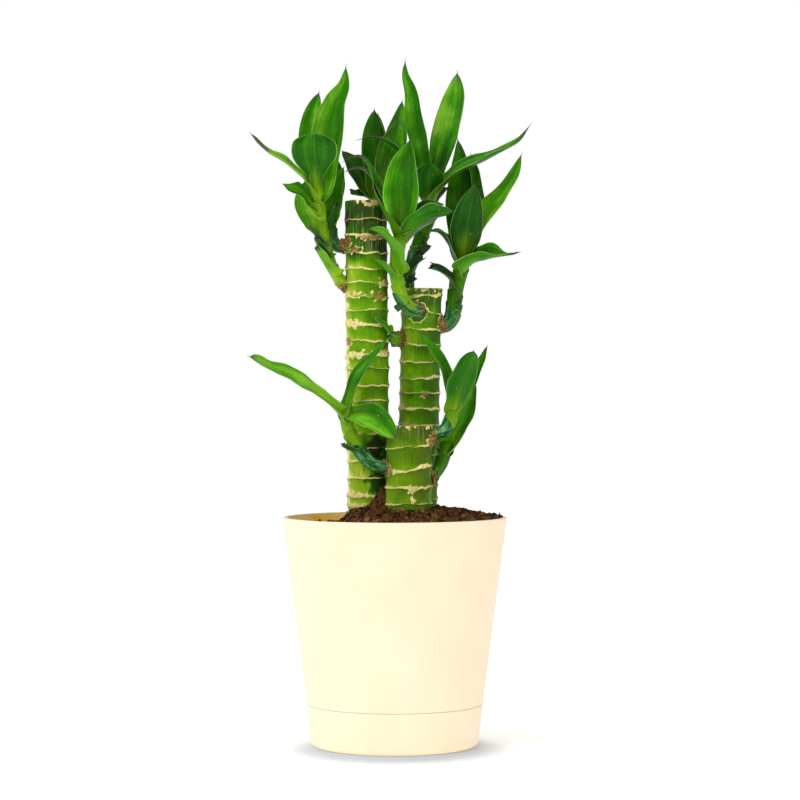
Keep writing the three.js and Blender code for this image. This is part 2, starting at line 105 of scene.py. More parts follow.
def blend(low, high, share):
    """Low where the share is 0, high where it is 1, and a straight mix between."""
    return low + (high - low) * share


def unit(vectors):
    """Each vector divided by its own length."""
    return vectors / np.maximum(np.linalg.norm(vectors, axis=-1, keepdims=True), TINY)


# %% Circles and lines
def steps_round(count):
    """The angles of equal steps round a circle."""
    return np.arange(count) * TAU / count


def around_axis(radius, angle, height):
    """Points round the vertical axis: x is the radius times the cosine of the angle, and y the
    radius times its sine."""
    x, y = radius * np.cos(angle), radius * np.sin(angle)
    return np.stack(np.broadcast_arrays(x, y, height), axis=-1)


def angle_between(angle, degrees):
    """How far an angle lies round from another, from minus to plus half a turn: the angle of the
    point on the circle that the difference leads to."""
    return np.angle(np.exp(1j * (angle - np.radians(degrees))))


def way_along(line):
    """The way along a line of points to each of them."""
    return np.concatenate([[0], np.cumsum(np.linalg.norm(np.diff(line, axis=0), axis=1))])


def read_off(at, along, line):
    """Each column of a line at ways along it, mixed straight between its points."""
    return np.stack([np.interp(at, along, column) for column in line.T], axis=-1)


# %% Seeded unevenness
def ripple(angle, rng, lowest=2, waves=7):
    """A random curve round a circle, of spread 1: a sum of cosines with lowest, lowest + 1, ...
    waves to the turn, each with its own phase and strength."""
    counts = np.arange(lowest, lowest + waves)
    strength = rng.normal(size=waves) / np.sqrt(counts)
    phase = rng.uniform(0, TAU, waves)
    curve = (strength * np.cos(np.multiply.outer(angle, counts) + phase)).sum(-1)
    return curve / np.sqrt((strength ** 2).sum() / 2)


def bumps(points, rng, size, waves=20, lengths=(0.7, 1.5)):
    """A random field in space, of spread 1: a sum of cosine waves, each running in its own
    direction. A wave's length is a share of size between the two in lengths."""
    direction = unit(rng.normal(size=(waves, 3)))
    step = direction * (TAU / (size * rng.uniform(*lengths, (waves, 1))))
    phase = rng.uniform(0, TAU, waves)
    return np.cos(points @ step.T + phase).sum(-1) * np.sqrt(2 / waves)


print("smooth step half way:", smooth(0, 1, 0.5))

# %% [markdown]
# ## From a grid of points to a piece
# Nearly every piece here is a profile carried along a path: a pot is a profile turned round an
# axis, a cane is a ring carried upwards, and a leaf is a thin lens carried along its midrib. So one
# function makes the faces of a grid whose rows run along the path and whose columns go round it,
# and closes both ends. Values such as a leaf's tone are kept for each point as attributes, which
# the materials read.

# %% Parts and pieces
SHARP = 50


def tube(grid, **values):
    """The part of a grid of points, rows along and columns round. Each face joins two
    neighbours of one row to the same two of the next, and the first and last rows close the ends."""
    rows, columns = grid.shape[:2]
    index = np.arange(rows * columns).reshape(rows, columns)
    beside = np.roll(index, -1, axis=1)
    sides = np.stack([index[:-1], beside[:-1], beside[1:], index[1:]], axis=-1)
    corners = np.concatenate([sides.ravel(), index[0, ::-1], index[-1]])
    counts = np.concatenate([np.full(sides.size // 4, 4), [columns, columns]])
    spread = {}
    for name, value in values.items():
        value = np.asarray(value, dtype=float)
        shape = (rows, columns, 3) if value.ndim == 3 else (rows, columns)
        spread[name] = np.broadcast_to(value, shape).reshape(rows * columns, -1)
    return dict(points=grid.reshape(-1, 3), corners=corners, counts=counts, values=spread)


def joined(parts):
    """Several parts as one: their lists end to end, with each part's corner numbers moved on by
    the points before it."""
    before = np.cumsum([0] + [len(part["points"]) for part in parts[:-1]])
    corners = [part["corners"] + start for part, start in zip(parts, before)]
    names = parts[0]["values"]
    return dict(
        points=np.concatenate([part["points"] for part in parts]),
        corners=np.concatenate(corners),
        counts=np.concatenate([part["counts"] for part in parts]),
        values={name: np.concatenate([part["values"][name] for part in parts]) for name in names},
    )


def make_mesh(name, part):
    """Puts a part's points and faces into a mesh in metres."""
    mesh = bpy.data.meshes.new(name)
    mesh.vertices.add(len(part["points"]))
    mesh.vertices.foreach_set("co", (part["points"] * MM).astype(np.float32).ravel())
    mesh.loops.add(len(part["corners"]))
    mesh.loops.foreach_set("vertex_index", part["corners"].astype(np.int32))
    mesh.polygons.add(len(part["counts"]))
    starts = np.concatenate([[0], np.cumsum(part["counts"])[:-1]])
    mesh.polygons.foreach_set("loop_start", starts.astype(np.int32))
    mesh.update(calc_edges=True)
    return mesh


def make_piece(name, part, material, node, sharp=SHARP):
    """Makes an object of a part, gives it its material and attributes, and stands it in for the
    CAD node. Edges that bend by more than sharp degrees stay crisp."""
    mesh = make_mesh(name, part)
    mesh.shade_smooth()
    mesh.set_sharp_from_angle(angle=np.radians(sharp))
    for label, value in part["values"].items():
        kind, key = ("FLOAT_VECTOR", "vector") if value.shape[1] == 3 else ("FLOAT", "value")
        attribute = mesh.attributes.new(label, kind, "POINT")
        attribute.data.foreach_set(key, value.astype(np.float32).ravel())
    mesh.materials.append(material)
    piece = put_in_scene(name, mesh)
    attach(piece, "root")
    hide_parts(node)
    print(f"{name}: {int((part['counts'] - 2).sum())} triangles")
    return piece


def turned(profile, sides, **values):
    """A profile of (radius, height) turned round the vertical axis."""
    radius, height = np.array(profile, dtype=float).T[:, :, None]
    return tube(around_axis(radius, steps_round(sides), height), **values)


# %% [markdown]
# ## One function for all shader nodes
# A material is a small graph. `add` makes one node of it: it takes the node's kind, what feeds each
# socket (a value, an earlier node or one socket of it) and the node's own settings. Some nodes keep
# a set of sockets for each kind of data and switch on only one set, so `add` looks among those that
# are on. The sockets of a Math node all have the same name and go by number.

# %% Shader nodes
def add(tree, kind, feeds=None, stops=(), **settings):
    """Adds a node. feeds gives a socket a value or what feeds it, stops gives a colour ramp its
    places and colours, and settings are the node's own."""
    node = tree.nodes.new("ShaderNode" + kind)
    for name, value in settings.items():
        setattr(node, name, value)
    for number, (place, code) in enumerate(stops):
        if number > 1:
            node.color_ramp.elements.new(place)
        node.color_ramp.elements[number].position = place
        node.color_ramp.elements[number].color = linear(code)
    named = {socket.name: socket for socket in node.inputs if socket.enabled}
    for key, value in (feeds or {}).items():
        socket = node.inputs[key] if isinstance(key, int) else named[key]
        if isinstance(value, bpy.types.Node):
            value = next(output for output in value.outputs if output.enabled)
        if isinstance(value, bpy.types.NodeSocket):
            tree.links.new(value, socket)
        else:
            socket.default_value = value
    return node


def new_material(name):
    """An empty material and its node tree."""
    material = bpy.data.materials.new(name)
    material.use_nodes = True
    material.node_tree.nodes.clear()
    return material, material.node_tree


def places_in_mm(tree):
    """Object coordinates in millimetres, so that a noise scale is waves to the millimetre."""
    place = add(tree, "TexCoord").outputs["Object"]
    return add(tree, "VectorMath", {0: place, 1: (1 / MM, 1 / MM, 1 / MM)}, operation="MULTIPLY")


# %% [markdown]
# ## Floor and light
# A product photo on pure white: a pale floor, an even white surround and a broad soft light from
# the upper left. The sun lamp's disc is made very wide, so that its shadows are soft, and two soft
# boxes cool the left side and warm the right. The lit floor is as bright as the surround, so only
# the soft shadow where the pot touches the floor shows. The bright pot fills its own shadow with
# light, so in the last few centimetres around the foot the paper is also made a little darker and
# loses its own glow. That shade is only seen: the light that the paper throws back at the saucer
# stays that of white paper.

# %% Floor
# The shade runs from full to none between two distances, in mm, from a place ahead of the pot. The
# floor's radius is in metres.
FOOT_SHADE = dict(full=40, none=75, ahead=18, colour="#c8cbd8")
FLOOR = dict(radius=4, corners=96, glow=0.2)

floor_material, tree = new_material("floor_matt_white_paper")
place = places_in_mm(tree)
grain = add(tree, "TexNoise", {"Vector": place, "Scale": 1 / 40, "Detail": 3})
tint = add(tree, "ValToRGB", {0: grain}, stops=[(0.3, "#f3f3f3"), (0.7, "#f8f8f8")])
moved = add(tree, "VectorMath", {0: place, 1: (0, FOOT_SHADE["ahead"], 0)}, operation="ADD")
reach = add(tree, "VectorMath", {0: moved}, operation="LENGTH")
near_foot = add(tree, "MapRange", {
    "Value": reach, "From Min": FOOT_SHADE["full"], "From Max": FOOT_SHADE["none"],
    "To Min": 1.0, "To Max": 0.0}, interpolation_type="SMOOTHSTEP")
seen = add(tree, "LightPath").outputs["Is Camera Ray"]
near_foot = add(tree, "Math", {0: near_foot, 1: seen}, operation="MULTIPLY")
shaded = add(tree, "Mix", {"Factor": near_foot, "A": tint, "B": linear(FOOT_SHADE["colour"])},
             data_type="RGBA")
own_glow = add(tree, "MapRange", {"Value": near_foot, "To Min": FLOOR["glow"], "To Max": 0.0})
paper = add(tree, "BsdfPrincipled", {
    "Base Color": shaded, "Roughness": 0.9, "Specular IOR Level": 0.1,
    "Emission Color": linear("#ffffff"), "Emission Strength": own_glow})
add(tree, "OutputMaterial", {"Surface": paper})

bpy.ops.mesh.primitive_circle_add(vertices=FLOOR["corners"], radius=FLOOR["radius"],
                                  fill_type="NGON", location=(0, 0, 0))
floor = bpy.context.object
floor.name = "floor"
floor.data.materials.append(floor_material)
print("floor is", round(floor.dimensions.x, 2), "m across")

# %% Lights
# The camera sees the surround at full white, but it lights the plant less: at the level near the
# horizon, and brighter overhead.
SURROUND = dict(seen=1.0, level=0.25, overhead=0.85, overhead_from=0.8)
SUN = dict(strength=1.05, soft=100, turn=(34, 0, -62), colour="#f6fff8")
SOFTBOXES = [
    dict(place=(-900, -900, 700), size=500, power=4, colour="#eefff4"),
    dict(place=(900, -700, 120), size=400, power=3.1, colour="#ffe2c6"),
]
LIT_POINT = (0, 0, 200)


def lamp(name, kind, strength, colour):
    """A lamp of one kind with its strength and colour."""
    data = bpy.data.lights.new(name, kind)
    data.energy = strength
    data.color = linear(colour)[:3]
    return put_in_scene(name, data)


world = bpy.data.worlds.new("white_surround")
world.use_nodes = True
tree = world.node_tree
tree.nodes.clear()
seen = add(tree, "LightPath").outputs["Is Camera Ray"]
course = add(tree, "TexCoord").outputs["Generated"]
upward = add(tree, "SeparateXYZ", {0: course}).outputs["Z"]
glow = add(tree, "MapRange", {
    "Value": upward, "From Min": 0.0, "From Max": SURROUND["overhead_from"],
    "To Min": SURROUND["level"], "To Max": SURROUND["overhead"]})
strength = add(tree, "Mix", {"Factor": seen, "A": glow, "B": SURROUND["seen"]}, data_type="FLOAT")
surround = add(tree, "Background", {"Color": linear("#ffffff"), "Strength": strength})
add(tree, "OutputWorld", {"Surface": surround})
bpy.context.scene.world = world
bpy.context.scene.view_settings.view_transform = "Standard"

sun = lamp("sun", "SUN", SUN["strength"], SUN["colour"])
sun.data.angle = np.radians(SUN["soft"])
sun.rotation_euler = Euler(np.radians(SUN["turn"]))
for number, box in enumerate(SOFTBOXES):
    softbox = lamp(f"softbox_{number}", "AREA", box["power"], box["colour"])
    softbox.data.size = box["size"] * MM
    softbox.location = np.array(box["place"]) * MM
    aim = Vector(LIT_POINT) * MM - softbox.location
    softbox.rotation_euler = aim.to_track_quat("-Z", "Y").to_euler()
print("lights:", 1 + len(SOFTBOXES))

# %% [markdown]
# ## Pot and saucer
# Both are moulded from one cream plastic. A lathe profile is the natural way to make them: the pot's
# outline runs from the middle of its floor, out and up its wall, over the small round lip and down
# inside. Its long straight stretches get points in between, so that the shading stays even. The
# pot hangs in the saucer by a small ledge, and the gap under the ledge is the fine seam.

# %% Profiles
# Inside, the pot's wall steps in between neck below the seam and shoulder above it. A turned grid
# stops just short of the axis, at core, where a small face closes it. step is the way between the
# points of a long stretch.
POT = dict(wall=2.4, lip=0.8, under=8, floor=2.6, foot=46, round=1.5, fillet=2, neck=2, shoulder=6,
           sides=256)
SEAM = dict(height=24.4, radius=51.1, step=2.6, round=0.25)
SAUCER = dict(foot=48.7, round=3, wall=2.2, floor=2.5, gap=0.15)
PROFILE = dict(core=0.5, step=4, arc=8, small_arc=4)

pot_high = np.array(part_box("pot")[1]) / MM
RIM_RADIUS, RIM_HEIGHT = pot_high[0], pot_high[2]
TAPER = (RIM_RADIUS - SEAM["radius"]) / (RIM_HEIGHT - SEAM["height"])


def arc(radius, height, size, start, end, steps=PROFILE["arc"]):
    """A quarter or so of a circle in a profile: its middle plus size times the cosine and sine."""
    angle = np.radians(np.linspace(start, end, steps + 1))
    return list(zip(radius + size * np.cos(angle), height + size * np.sin(angle)))


def dense(profile, step):
    """The same outline with more points: its own and one every step along its length."""
    profile = np.array(profile, dtype=float)
    along = way_along(profile)
    return read_off(np.union1d(along, np.arange(0, along[-1], step)), along, profile)


def inner_radius(height):
    """The pot's inner radius: the seam's radius, wider by the taper for each millimetre up, less
    the wall."""
    return SEAM["radius"] + TAPER * (height - SEAM["height"]) - POT["wall"]


lip, fillet = POT["lip"], POT["fillet"]
ledge, small_arc = SEAM["round"], PROFILE["small_arc"]
inside_foot = POT["foot"] - POT["wall"]
inside_floor = POT["under"] + POT["floor"]
shoulder = SEAM["height"] + POT["shoulder"]
neck = SEAM["height"] - POT["neck"]
pot_profile = dense([
    (PROFILE["core"], POT["under"]),
    *arc(POT["foot"] - POT["round"], POT["under"] + POT["round"], POT["round"], -90, 0),
    (SEAM["radius"] - SEAM["step"], SEAM["height"]),
    *arc(SEAM["radius"] - ledge, SEAM["height"] + ledge, ledge, -90, 0, small_arc),
    *arc(RIM_RADIUS - lip, RIM_HEIGHT - lip, lip, 0, 90),
    *arc(RIM_RADIUS - POT["wall"] + lip, RIM_HEIGHT - lip, lip, 90, 180),
    (inner_radius(shoulder), shoulder),
    (inside_foot, neck),
    *arc(inside_foot - fillet, inside_floor + fillet, fillet, 0, -90),
    (PROFILE["core"], inside_floor),
], PROFILE["step"])
saucer_top = SEAM["height"] - SAUCER["gap"]
saucer_inside = SAUCER["foot"] - SAUCER["wall"]
saucer_profile = dense([
    (PROFILE["core"], 0),
    *arc(SAUCER["foot"] - SAUCER["round"], SAUCER["round"], SAUCER["round"], -90, 0),
    *arc(SEAM["radius"] - ledge, saucer_top - ledge, ledge, 0, 90, small_arc),
    *arc(SEAM["radius"] - SAUCER["wall"] + ledge, saucer_top - ledge, ledge, 90, 180, small_arc),
    *arc(saucer_inside - SAUCER["round"], SAUCER["floor"] + SAUCER["round"], SAUCER["round"], 0, -90),
    (PROFILE["core"], SAUCER["floor"]),
], PROFILE["step"])
print("profile points:", len(pot_profile), "and", len(saucer_profile))

# %% [markdown]
# Moulded polypropylene is slightly waxy: a satin skin with a fine spark-eroded grain, a little
# light under the surface and no metal. The inner wall above the soil is golden brown, and a faint
# golden emission on that part is a painted glow that stands in for daylight through the thin wall.
# The grain is about a quarter of a millimetre across, too fine for the render, so its bump is drawn
# at 0.8 mm.

# %% Moulded plastic
plastic, tree = new_material("moulded_cream_polypropylene")
place = places_in_mm(tree)
stain = add(tree, "Attribute", attribute_name="stain").outputs["Fac"]
cloud = add(tree, "TexNoise", {"Vector": place, "Scale": 1 / 35, "Detail": 3})
cream = add(tree, "ValToRGB", {0: cloud}, stops=[(0.3, "#f4e3c6"), (0.7, "#f7e9d0")])
sheen = add(tree, "TexNoise", {"Vector": place, "Scale": 1 / 12, "Detail": 4})
golden = add(tree, "ValToRGB", {0: sheen}, stops=[(0.35, "#ffd64a"), (0.65, "#ffe6a0")])
colour = add(tree, "Mix", {"Factor": stain, "A": cream, "B": golden}, data_type="RGBA")
rough = add(tree, "MapRange", {"Value": sheen, "To Min": 0.36, "To Max": 0.48})
pores = add(tree, "TexNoise", {"Vector": place, "Scale": 1 / 0.8, "Detail": 2})
bump = add(tree, "Bump", {"Height": pores, "Strength": 0.12, "Distance": 0.0001})
# painted glow: the golden inner wall emits a faint light in place of daylight through the thin wall
painted_glow_through_wall = add(tree, "Math", {0: stain, 1: 0.16}, operation="MULTIPLY")
shader = add(tree, "BsdfPrincipled", {
    "Base Color": colour, "Roughness": rough, "IOR": 1.49, "Subsurface Weight": 0.15,
    "Subsurface Scale": 0.003, "Normal": bump, "Emission Color": linear("#ffb020"),
    "Emission Strength": painted_glow_through_wall})
add(tree, "OutputMaterial", {"Surface": shader})
print("material:", plastic.name)

# %% Make the pot and the saucer
# The golden colour and its painted glow begin on the inner wall, over the first millimetres below the lip.
GOLDEN_INSIDE_DEPTH = (0.2, 1.6)
lip_row = int(np.argmax(pot_profile[:, 1]))
row = np.arange(len(pot_profile))[:, None]
depth = RIM_HEIGHT - pot_profile[:, 1:2]
stained = np.where(row > lip_row, smooth(*GOLDEN_INSIDE_DEPTH, depth), 0)
pot = make_piece("pot_shell", turned(pot_profile, POT["sides"], stain=stained), plastic,
                 "pot")
make_piece("saucer_tray", turned(saucer_profile, POT["sides"], stain=0), plastic,
           "saucer")

# %% [markdown]
# Water leaves the pot through five round holes in its floor, over the saucer's hollow. A turned
# grid has no place for a hole beside its axis, so a Boolean modifier cuts five rods out of the pot.
# The cut mesh is kept, and the modifier and the rods are thrown away.

# %% Drain holes
DRAIN = dict(count=5, radius=3, ring=28, low=2, high=16, sides=32)


def drain_rod(angle):
    """A turned upright rod, moved out from the axis along the angle by the ring's radius."""
    rod = turned([(DRAIN["radius"], DRAIN["low"]), (DRAIN["radius"], DRAIN["high"])], DRAIN["sides"])
    rod["points"] = rod["points"] + around_axis(DRAIN["ring"], angle, 0)
    return rod


five_rods = joined([drain_rod(angle) for angle in steps_round(DRAIN["count"])])
rods = put_in_scene("drain_rods", make_mesh("drain_rods", five_rods))
cutter = pot.modifiers.new("drain_holes", "BOOLEAN")
cutter.object = rods
finished = pot.evaluated_get(bpy.context.evaluated_depsgraph_get())
pot.data = bpy.data.meshes.new_from_object(finished)
pot.data.set_sharp_from_angle(angle=np.radians(SHARP))
pot.modifiers.clear()
bpy.data.meshes.remove(rods.data)
print("faces of the pot with its drain holes:", len(pot.data.polygons))

# %% [markdown]
# ## Canes
# A cane is a stem of the dragon plant cut to length. A leaf once clasped it at each node and left a
# raised, ragged, corky ring, wider where the leaf's back was. Between the rings the skin is smooth
# and green. The cut end dries out: its skin turns dark and fibrous and its face is sealed.
#
# A texture alone would look painted on, so each ring is in the mesh. Every point of the cane knows
# its signed distance in millimetres to the nearest scar: below 0 it is on it. The same value lifts
# the surface and, as an attribute, lets the material draw a crisp edge.

# %% Cane sizes
# Angles are degrees round the cane: -90 is the front, 0 the right and 180 the left. foot and top are
# the ends of the middle line. tone is the green's place on its ramp, lighter_foot what it gains
# near the soil, and olive how far the skin has bleached. Over the heights in dry the cut end's skin
# turns fibrous, and dark is what its tone loses there.
# Scars are (height, rise to the right, thickness), patches of cork (angle, height, width, tallness,
# rust), painted shade and pale patches (angle, height, width, tallness, gain of tone) and buds
# (angle, height, radius, lift). A loss of tone darkens the skin, as painted shade between the canes;
# a gain lightens a pale strip, partly as painted light on the lit edges.
CANES = {
    "cane_tall": dict(
        foot=(-14.2, 2, 62), top=(-16.9, 2, 316), radius=12.3, tone=0.6, dry=(279, 288), dark=0.45,
        scars=[(139, 0, 1.5), (145, 0.3, 1.6), (155, 0.8, 1.2), (165, 0, 1), (172, 0.3, 0.8),
               (181, 0.4, 1), (191, -0.3, 0.9), (200, 0, 0.9), (209, -0.6, 1.2), (219, 0, 1),
               (226, 0.5, 2.2), (234.5, -0.4, 1.3), (243.5, -0.9, 2), (252, 0.3, 0.9), (260, 0, 1.2),
               (268, -0.2, 0.9), (276, -0.5, 1.1), (285.5, -0.3, 1), (295, -0.6, 2),
               (304.5, 0, 0.6)],
        patches=[(-52, 313.6, 18, 3.6, 0.5), (-75, 294, 13, 3, 0.8), (-152, 292, 8, 7, 1),
                 (-130, 287, 12, 3.4, 0.9), (-40, 267.3, 10, 4, 0.4), (-55, 260.5, 9, 4.4, 0.9),
                 (-130, 261.5, 12, 3, 0.25), (-135, 244.5, 13, 5, 0.1),
                 (-148, 234, 5.5, 5.5, 0.8), (-122, 226.5, 16, 4, 0.1), (-35, 228, 7, 3, 0.4),
                 (-122, 145.4, 18, 1.6, 0.1), (-118, 139.3, 19, 1.8, 0.2), (60, 296, 14, 6, 0.7),
                 (120, 251.5, 12, 4, 0.3), (40, 218.6, 10, 3, 0.5)],
        painted_shade_and_pale=[(-167, 212, 9, 84, 0.25), (-165, 150, 7, 36, 0.12), (-74, 173, 15, 12, -0.6),
                (-62, 155, 12, 20, -0.6), (-64, 300, 13, 12, 0.17), (-20, 299, 12, 15, 0.15),
                (-160, 306, 9, 10, -0.4)],
        olive=0,
        lighter_foot=0.2,
        buds=[],
    ),
    "cane_middle": dict(
        foot=(11.2, 12, 62), top=(15.8, 12, 265.5), radius=11.4, tone=0.52, dry=(244, 258),
        dark=0.06,
        scars=[(142, 0.2, 1.2), (151, -0.3, 1), (160, 0.2, 1), (168, 0.5, 1), (177, 0, 1.1),
               (186, -0.3, 0.9), (195, 0, 1.9), (204.5, 0, 1), (213.5, 0.9, 1.5), (222.5, -0.2, 0.9),
               (232, 0, 1), (241, -0.6, 1.1), (250, 0, 1), (260.5, 1.2, 1.8)],
        patches=[(-75, 203.4, 4, 3, 0.9), (-60, 264.8, 20, 1.4, 0.75), (-172, 234, 10, 6, 1),
                 (-8, 245, 9, 7, 0.8), (100, 241.5, 12, 4, 0.4), (60, 204.6, 9, 3, 0.5)],
        painted_shade_and_pale=[(-155, 205, 14, 130, 0.12)],
        olive=0,
        lighter_foot=0.1,
        buds=[(-103, 251.5, 6, 1)],
    ),
    "cane_short": dict(
        foot=(7.4, -14, 62), top=(8.3, -14, 186), radius=12.9, tone=0.46, dry=(174, 178), dark=0.12,
        scars=[(141, 0.3, 1.2), (150.5, 0, 2), (161, 2, 2.2), (174, 1.7, 1.2)],
        patches=[(-82, 149.6, 6, 4, 0.2), (-163, 160, 12, 6, 0.8), (-18, 176.5, 8, 6, 0.85),
                 (-100, 185.2, 24, 1.6, 0.2), (70, 158, 12, 5, 0.4), (-79, 143, 2.6, 3.2, 0)],
        painted_shade_and_pale=[(-10, 150, 5, 24, 0.26)],
        olive=0.2,
        lighter_foot=0.06,
        buds=[],
    ),
}
# The mesh: its columns, the step between its rows and a coarse one below the ground. The worn rim
# is three rings that rise by shares of the bevel and shrink by up to worn. The cut face follows
# inside it, from a share of the radius down to nearly nothing, and its dried pith is sunken. The
# last three pairs are the shares of the radius over which something fades in towards the middle.
CANE = dict(columns=168, step=0.45, coarse=4, ground=124, bevel=0.9, rim=(0.5, 0.85, 1), worn=0.03,
            worn_from=0.4, face=(0.93, 0.02), face_rings=16, sunken=0.9, sunken_over=(1, 0.5),
            flecks_over=(1, 0.9), cut_over=(1, 0.96))
# The relief. A pair is a height and the size of what it lifts, or the width that it spreads over.
# A scar's ridge rises over edge on both sides of its line.
RELIEF = dict(wobble=0.16, lumps=(0.1, 30), coarse=(0.28, 3), fine=(0.14, 1.3), ridge=0.5, edge=0.35,
              swell=(0.35, 2.6), groove=(0.14, 0.4), groove_below=0.5, cut_face=(0.16, 2.2))
# A scar's line rises, leans, wanders and flutters. Its half thickness is a share of its thickness in
# the table, because raggedness widens it, and is uneven between two limits. far is a distance that
# no point near a scar has. Rust fades in over a patch's edge, from outside to inside.
SCAR = dict(far=9.0, lean=0.4, wander=0.3, flutter=0.14, half=0.36, uneven=0.38, limits=(-1.8, 2.6),
            ragged=2.6, rust_edge=(1, -0.6))
# A bud is a dome with overlapping scales and a raised ring round it. Its colour is as strong as
# cover, more or less by swing from scale to scale, and ends over two shares of its radius.
BUD = dict(dome=0.62, scale=0.22, pitch=1.3, ring=(0.4, 0.5), ragged=1.2, ring_width=0.07,
           cover=0.65, swing=0.35, ends=(0.95, 0.8))
# What the tone loses and gains: painted shade towards the right side round the cane, a gain just
# above a scar and painted shade just below one, clouds, and a gain towards the foot. The edges of
# the painted shade and pale patches and of the dry skin are soft and uneven.
SKIN = dict(painted_shade_right=0.16, above=(0.12, 2.5), below=(0.14, 2), clouds=(0.05, 14), foot=(185, 140),
            shade_edge=(2, -2.5), shade_bumps=(1.5, 6), shade_ragged=2, dry_wander=2.5)


def cane_middle_line(cane, height):
    """The middle of a leaning cane: its foot plus a share of the way to its top."""
    foot, top = np.array(cane["foot"], dtype=float), np.array(cane["top"], dtype=float)
    share = (np.asarray(height) - foot[2]) / (top[2] - foot[2])
    return foot[:2] + (top - foot)[:2] * share[..., None]


def round_patch(angle, height, radius, place, level, width, tallness):
    """Signed distance to an oval on the cane: the length of the offsets, each divided by the
    oval's half size, less 1, times the smaller half size."""
    aside = angle_between(angle, place) * radius
    reach = np.hypot(aside / (width / 2), (height - level) / (tallness / 2))
    return (reach - 1) * min(width, tallness) / 2


def bell(value, width):
    """e to the minus square of the value over the width: 1 at 0, and gone a few widths away."""
    return np.exp(-(value / width) ** 2)


def layer(points, rng, height, size):
    """Bumps of one size, times their height."""
    return height * bumps(points, rng, size)


# %% Cane surface
def cane_part(cane, rng):
    """The side as radius, height and angle of each point, with the values that the material reads.
    The radius is the cane's own, plus a slight wobble, a swelling and a ridge at each scar, less a
    fine groove below it, and with domes for buds. The tone rises just above a scar and falls just
    below one, by e to the minus distance over a millimetre or two."""
    radius = cane["radius"]
    top = cane["top"][2] - CANE["bevel"]
    levels = np.concatenate([np.arange(cane["foot"][2], CANE["ground"], CANE["coarse"]),
                             np.arange(CANE["ground"], top, CANE["step"])])
    angle, height = np.meshgrid(steps_round(CANE["columns"]), levels)
    around = around_axis(radius, angle, height)
    rough = layer(around, rng, *RELIEF["coarse"]) + layer(around, rng, *RELIEF["fine"])
    lift = RELIEF["wobble"] * ripple(angle[0], rng, waves=3) + layer(around, rng, *RELIEF["lumps"])
    scar, above, under = (np.full(angle.shape, SCAR["far"]) for _ in range(3))
    rust = np.zeros(angle.shape)
    for level, rise, thick in cane["scars"]:
        wander = SCAR["wander"] * ripple(angle[0], rng)
        wander = wander + SCAR["flutter"] * ripple(angle[0], rng, lowest=8, waves=14)
        line = level + rise * np.cos(angle) + SCAR["lean"] * rng.normal() * np.sin(angle) + wander
        uneven = ripple(angle[0], rng, lowest=1, waves=6).clip(*SCAR["limits"])
        half = SCAR["half"] * thick * (1 + SCAR["uneven"] * uneven)
        over = height - line
        scar = np.minimum(scar, np.abs(over) - half)
        above = np.where(over > 0, np.minimum(above, over), above)
        under = np.where(over < 0, np.minimum(under, -over), under)
        lift += RELIEF["swell"][0] * bell(over, RELIEF["swell"][1])
        lift -= RELIEF["groove"][0] * bell(over + half + RELIEF["groove_below"], RELIEF["groove"][1])
    for *oval, rusty in cane["patches"]:
        inside = round_patch(angle, height, radius, *oval)
        scar = np.minimum(scar, inside + SCAR["ragged"] * rough)
        rust = np.maximum(rust, rusty * smooth(*SCAR["rust_edge"], inside))
    ridge = smooth(RELIEF["edge"], -RELIEF["edge"], scar + rough)
    lift += RELIEF["ridge"] * ridge * (1 + rough / 2)
    bud = np.zeros(angle.shape)
    for place, level, size, rise in cane["buds"]:
        apart = np.hypot(angle_between(angle, place) * radius, height - level)
        turn = TAU * apart / BUD["pitch"]
        lift += rise * bell(apart, size * BUD["dome"])
        lift += BUD["scale"] * np.cos(turn) * smooth(size, size / 2, apart)
        lift += BUD["ring"][0] * bell(apart - size, BUD["ring"][1])
        scar = np.where(apart < size, SCAR["far"], scar)
        ring = np.abs(apart - size + BUD["ragged"] * rough) - BUD["ring_width"] * size
        scar = np.minimum(scar, ring)
        cover = BUD["cover"] + BUD["swing"] * np.cos(turn + 1)
        bud = np.maximum(bud, cover * smooth(*np.multiply(size, BUD["ends"]), apart))
    # painted shade: the tone falls towards the right side, away from the light from the left
    tone = cane["tone"] - SKIN["painted_shade_right"] * np.cos(angle)
    tone += cane["lighter_foot"] * smooth(*SKIN["foot"], height)
    tone += SKIN["above"][0] * np.exp(-above / SKIN["above"][1])
    # painted shade: the tone falls just below each scar, where its ridge shades the skin
    tone -= SKIN["below"][0] * np.exp(-under / SKIN["below"][1])
    tone += layer(around, rng, *SKIN["clouds"])
    # painted shade and pale patches: a loss of tone is painted shade, as between the canes, and a gain a
    # pale strip, partly painted light on the lit edges
    for *oval, gain in cane["painted_shade_and_pale"]:
        inside = round_patch(angle, height, radius, *oval) + layer(around, rng, *SKIN["shade_bumps"])
        inside = inside + SKIN["shade_ragged"] * rough
        tone += gain * smooth(*SKIN["shade_edge"], inside)
    dry = smooth(*cane["dry"], height + SKIN["dry_wander"] * ripple(angle[0], rng, lowest=1, waves=5))
    tone -= cane["dark"] * dry
    olive = np.full(angle.shape, float(cane["olive"]))
    values = dict(scar=scar, rust=rust, tone=tone, dry=dry, bud=bud, olive=olive)
    return radius + lift, height, angle, values


